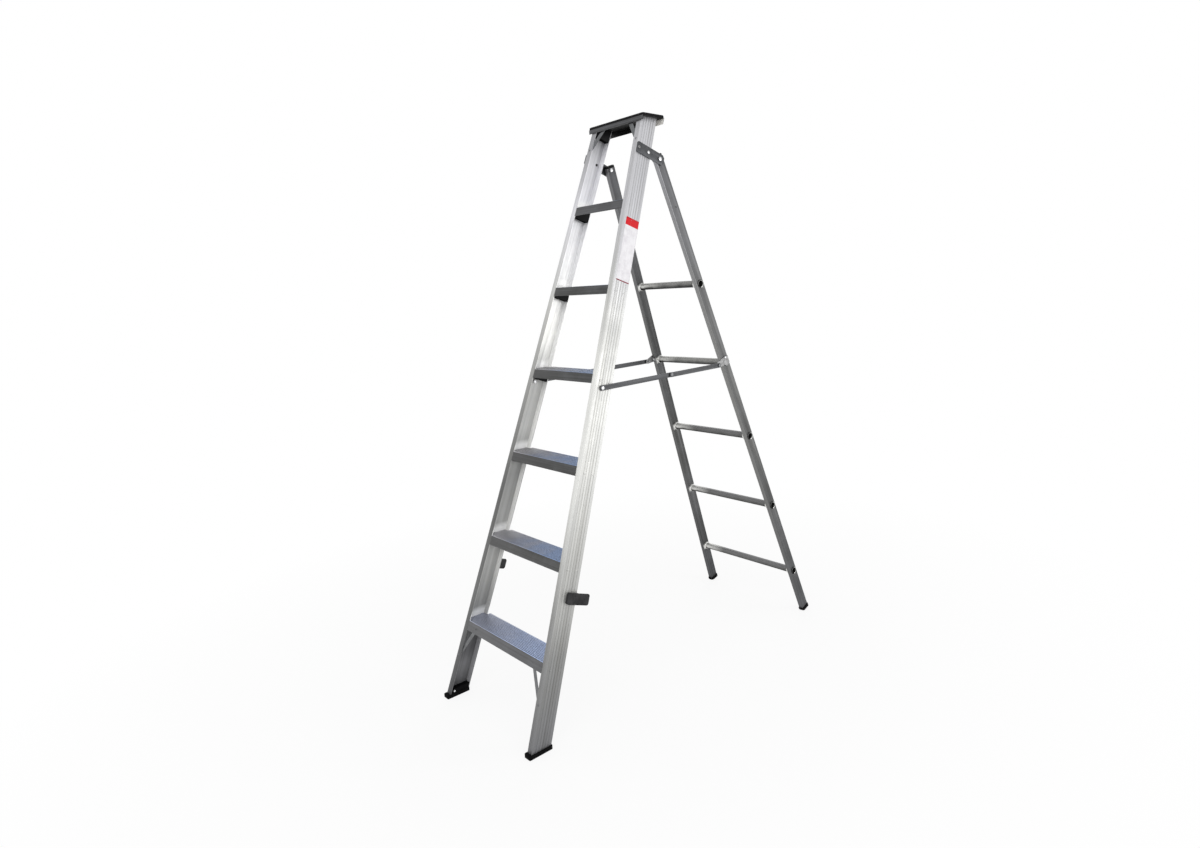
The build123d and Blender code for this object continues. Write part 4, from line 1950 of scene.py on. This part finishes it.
@dataclass
class RearFrame:
    """The rear rails with their plugs, the rungs and the spreader brackets.

    Attributes:
        palette: Finishes.
        rungs: How many rungs.
        bore: Least distance from a rung's axis of a face that looks at it.
        rim: Rolled end of a rung on the outer face of a rail.
        bead: Bead of a rung on the inner face of a rail.
        highlight_slope: Share of the way down that counts towards the side of a rim with the
            painted highlight.
        highlight_from: Where that side starts.
        width: Width of a rail.
        depth: Depth of a rail.
        ear_along: Middle of a spreader bracket along the rail.
        ear: Thickness of a spreader bracket.
        ear_rivet: Rivet of a spreader bracket.
        ear_side: Place of its side rivet, across the rail and along from its middle.
        ear_front: Place of its front rivet, out of the rail's middle.
        cover: Thin cover of the rung that a spreader bracket hides.
        cover_sink: How far it sinks into the bracket.
        screw: Small screw on the outer face of a rail.
        screw_back: Place of the screw across the rail.
        screw_along: Place of the screw along the rail.
    """

    palette: Palette
    rungs: int = 5
    bore: float = 0.001
    rim: SwagedRing = SwagedRing(OUTLINE.rung_radius - 0.0016, 0.0158, 0.0017)
    bead: SwagedRing = SwagedRing(OUTLINE.rung_radius - 0.0004, 0.0172, 0.0085)
    highlight_slope: float = 0.6
    highlight_from: float = 0.005
    width: float = 0.020
    depth: float = 0.040
    ear_along: float = 0.815
    ear: float = 0.003
    ear_rivet: BlindRivet = BlindRivet(0.0052, 0.0022)
    ear_side: Pair = (0.003, -0.0105)
    ear_front: float = 0.002
    cover: BlindRivet = BlindRivet(0.0147, 0.0022)
    cover_sink: float = 0.0005
    screw: BlindRivet = BlindRivet(0.0028, 0.0007)
    screw_back: float = 0.0024
    screw_along: float = 0.1825

    @property
    def alongs(self) -> list[float]:
        """Places of the rungs along a rail, from the highest down."""
        numbers = range(self.rungs)
        return [OUTLINE.first_rung + number * OUTLINE.rung_pitch for number in numbers]

    def build(self) -> None:
        """Build and dress everything."""
        palette, rail = self.palette, OUTLINE.rail
        for side in Side:
            word = side.word
            tube = refinish(
                f"rear_rail_{word}", Edge.FINE, palette.rail[side], Body.REAR
            )
            front, inward = -mirrored(rail.back, side), -mirrored(rail.outward, side)
            # Each face of the rail gets its own painted light and shade.
            paint_faces(tube, palette.rail_front[side], facing(front, CURVED))
            paint_faces(tube, palette.rail_inner[side], facing(inward))
            refinish(f"rail_plug_{word}", Edge.MOULDED, palette.plastic, Body.REAR)
            refinish(f"spreader_bracket_{word}", Edge.FINE, palette.bracket, Body.REAR)
        for number, along in enumerate(reversed(self.alongs), 1):
            rung = refinish(f"rung_{number}", Edge.CRISP, palette.rung, Body.REAR)
            axis = rail.origin + rail.along * along
            # Painted shade inside the bore of each rung.
            paint_faces(
                rung,
                palette.shade,
                lambda centre, normal: normal.yz.dot((centre - axis).yz) < -self.bore,
            )
        self.rims()
        self.rivets()

    def rims(self) -> None:
        """Rolled rims on the outer faces, in painted shade with a painted highlight, and beads on
        the inner faces of the rails.
        """
        rail, palette = OUTLINE.rail, self.palette
        outer = [rail.seat(side, 0, along) for side in Side for along in self.alongs]
        # The rims are in painted shade, with a painted highlight on their lower rear side.
        rims = fasten(self.rim, "rung_rims", outer, palette.shade, Body.REAR)
        paint_faces(rims, palette.bead, lambda centre, normal: self.highlight_side(centre))
        inner = [
            rail.seat(side, 0, along, -self.width, Face.INNER)
            for side in Side
            for along in self.alongs
        ]
        fasten(self.bead, "rung_beads", inner, palette.bead, Body.REAR)

    def highlight_side(self, point: Vector) -> bool:
        """Whether a point of a rim lies on its lower, rear side.

        Args:
            point: The point.

        Returns:
            True where the rim gets the painted highlight.
        """
        rail, pitch = OUTLINE.rail, OUTLINE.rung_pitch
        away = Vector((abs(point.x), point.y, point.z)) - rail.origin
        half = pitch / 2
        down = (away.dot(rail.along) - OUTLINE.first_rung + half) % pitch - half
        return away.dot(rail.back) + self.highlight_slope * down > self.highlight_from

    def rivets(self) -> None:
        """Rivets of the spreader brackets, covers of the rungs behind them and screws."""
        rail, palette = OUTLINE.rail, self.palette
        back, along = self.ear_side
        front, out = -self.depth / 2 - self.ear, -self.width / 2 + self.ear_front
        places = []
        for side in Side:
            places.append(rail.seat(side, back, self.ear_along + along, self.ear))
            places.append(rail.seat(side, front, self.ear_along, out, Face.FRONT))
        fasten(self.ear_rivet, "bracket_rivets", places, palette.zinc, Body.REAR)
        covered, level = self.alongs[1], self.ear - self.cover_sink
        covers = [rail.seat(side, 0, covered, level) for side in Side]
        fasten(self.cover, "rung_covers", covers, palette.bracket, Body.REAR)
        screws = [rail.seat(side, self.screw_back, self.screw_along) for side in Side]
        # The screws take the near-black painted shade, as of a hole.
        fasten(self.screw, "rail_screws", screws, palette.shade, Body.REAR)


@dataclass
class Spreaders:
    """The folding bars between the stiles and the rear rails.

    Attributes:
        palette: Finishes.
        head: Height of the head and of the nut of the middle bolt.
        painted: Share of that height that has a finish of its own.
    """

    palette: Palette
    head: float = 0.003
    painted: float = 0.9

    def build(self) -> None:
        """Build and dress everything."""
        palette = self.palette
        for side in Side:
            for end in ("front", "rear"):
                self.bar(end, side)
        refinish("spreader_studs", Edge.FINE, palette.zinc, Body.FRONT)
        refinish("spreader_pins", Edge.FINE, palette.strap, Body.REAR)

    def bar(self, end: str, side: Side) -> None:
        """A bar with the head, or the nut, of the middle bolt.

        Args:
            end: Which end of the spreader it is, front or rear.
            side: Side of the ladder.
        """
        node = f"{end}_spreader_bar_{side.word}"
        body = Body(f"{end}_bar_{side.word}")
        bar = refinish(node, Edge.FINE, self.palette.bar, body)
        near, far = sorted(abs(corner.x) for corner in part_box(node))
        depth = self.painted * self.head

        def on_bolt(centre: Vector, normal: Vector) -> bool:
            """Whether a face is one of the head or the nut."""
            away = abs(centre.x)
            return away > far - depth if end == "rear" else away < near + depth

        paint_faces(bar, self.palette.strap, on_bolt)


# Studio


@dataclass(frozen=True)
class Lamp:
    """Square soft light.

    Attributes:
        name: Name of the lamp.
        place: Where it stands.
        target: What it faces.
        size: Side of the square.
        power: Power in watts.
    """

    name: str
    place: Triple
    target: Triple
    size: float
    power: float

    def build(self) -> None:
        """Hang the lamp."""
        data = bpy.data.lights.new(self.name, "AREA")
        data.shape = "SQUARE"
        data.size = self.size
        data.energy = self.power
        lamp = bpy.data.objects.new(self.name, data)
        lamp.location = self.place
        aim = Vector(self.target) - Vector(self.place)
        lamp.rotation_euler = aim.to_track_quat("-Z", "Y").to_euler()
        bpy.context.scene.collection.objects.link(lamp)
        log.info("lamp %s: %.0f W", self.name, self.power)


@dataclass
class Studio:
    """Pale floor, soft light and the camera of the photograph.

    Attributes:
        place: Place of the camera.
        yaw: Heading of the camera in degrees, left of straight ahead.
        pitch: Upward tilt in degrees.
        roll: Turn about the line of sight in degrees.
        lens: Focal length in millimetres.
        sensor: Width of the camera's frame in millimetres.
        shift: Shift of the frame.
        floor_radius: Radius of the floor.
        floor_grey: Grey of the floor.
        floor_fade: Distances between which the floor fades to white.
        floor_white: Share of white at those distances.
        ambient: Strength of the even light.
        lamps: The lamps.
    """

    place: Triple = (2.14557, -1.92176, 1.44813)
    yaw: float = 47.55
    pitch: float = -6.81
    roll: float = -2.82
    lens: float = 22.298
    sensor: float = 36.0
    shift: Pair = (-0.0319, -0.0379)
    floor_radius: float = 14.0
    floor_grey: float = 0.82
    floor_fade: Pair = (0.9, 2.4)
    floor_white: Pair = (0.86, 1.0)
    ambient: float = 0.75
    lamps: tuple[Lamp, ...] = (
        Lamp("key", (2.2, -4.2, 3.4), (0, -0.1, 1.0), 3.2, 60.0),
        Lamp("fill", (3.8, -0.6, 2.4), (0, 0, 1.0), 2.6, 25.0),
        Lamp("rim", (-2.6, 3.2, 3.4), (0, 0, 1.0), 2.4, 25.0),
        Lamp("kick", (3.0, 2.25, 1.25), (-0.2, -0.2, 1.5), 1.8, 28.0),
    )

    def build(self) -> None:
        """Build everything."""
        self.floor()
        self.world()
        for lamp in self.lamps:
            lamp.build()
        self.camera()
        bpy.context.scene.view_settings.view_transform = "Standard"

    def floor(self) -> None:
        """Round pale floor that turns white away from the ladder."""
        piece = fresh(
            bpy.ops.mesh.primitive_circle_add,
            "floor",
            vertices=64,
            radius=self.floor_radius,
            fill_type="NGON",
        )
        mode("OBJECT")
        shader = Shader("floor")
        grey = (self.floor_grey, self.floor_grey, self.floor_grey, 1.0)
        shader.fix(Base_Color=grey, Roughness=0.9, Specular_IOR_Level=0.1)
        white = shader.add("ShaderNodeEmission")
        white.inputs["Strength"].default_value = 1.0
        spot = shader.add("ShaderNodeTexCoord")
        length = shader.add("ShaderNodeVectorMath", operation="LENGTH")
        shader.wire(spot.outputs["Object"], length.inputs[0])
        fade = shader.span(length.outputs["Value"], self.floor_fade, self.floor_white)
        shader.mix_out(
            shader.sum(fade, "MULTIPLY", shader.seen()),
            shader.surface.outputs["BSDF"],
            white.outputs["Emission"],
            "Material Output",
        )
        piece.data.materials.append(shader.material)
        log.info("floor: radius %.1f m", self.floor_radius)

    def world(self) -> None:
        """White surroundings that light the ladder evenly and softly."""
        shader = WorldShader("studio")
        even = shader.tree.nodes["Background"]
        white = shader.add("ShaderNodeBackground")
        for node, strength in ((even, self.ambient), (white, 1.0)):
            node.inputs["Color"].default_value = (1, 1, 1, 1)
            node.inputs["Strength"].default_value = strength
        shader.mix_out(
            shader.seen(),
            even.outputs["Background"],
            white.outputs["Background"],
            "World Output",
        )
        bpy.context.scene.world = shader.world
        log.info("world: ambient %.2f", self.ambient)

    def camera(self) -> None:
        """Camera at the photograph's viewpoint."""
        yaw, pitch, roll = (math.radians(angle) for angle in (self.yaw, self.pitch, self.roll))
        ahead = Vector(
            (-math.sin(yaw) * math.cos(pitch), math.cos(yaw) * math.cos(pitch), math.sin(pitch))
        )
        level = Vector((math.cos(yaw), math.sin(yaw), 0))
        above = level.cross(ahead)
        right = level * math.cos(roll) + above * math.sin(roll)
        up = above * math.cos(roll) - level * math.sin(roll)
        data = bpy.data.cameras.new("camera")
        data.sensor_width = self.sensor
        data.lens = self.lens
        data.shift_x, data.shift_y = self.shift
        camera = bpy.data.objects.new("camera", data)
        turn = Matrix((right, up, -ahead)).transposed().to_4x4()
        camera.matrix_world = Matrix.Translation(self.place) @ turn
        bpy.context.scene.collection.objects.link(camera)
        bpy.context.scene.camera = camera
        log.info("camera: %.1f mm", self.lens)


def main() -> None:
    """Build the ladder and its studio."""
    palette = Palette()
    for assembly in (
        Stiles(palette),
        Treads(palette),
        Platform(palette),
        Hinges(palette),
        Shoes(palette),
        RearFrame(palette),
        Spreaders(palette),
        Studio(),
    ):
        log.info("%s", type(assembly).__name__)
        assembly.build()


if __name__ == "__main__":
    main()
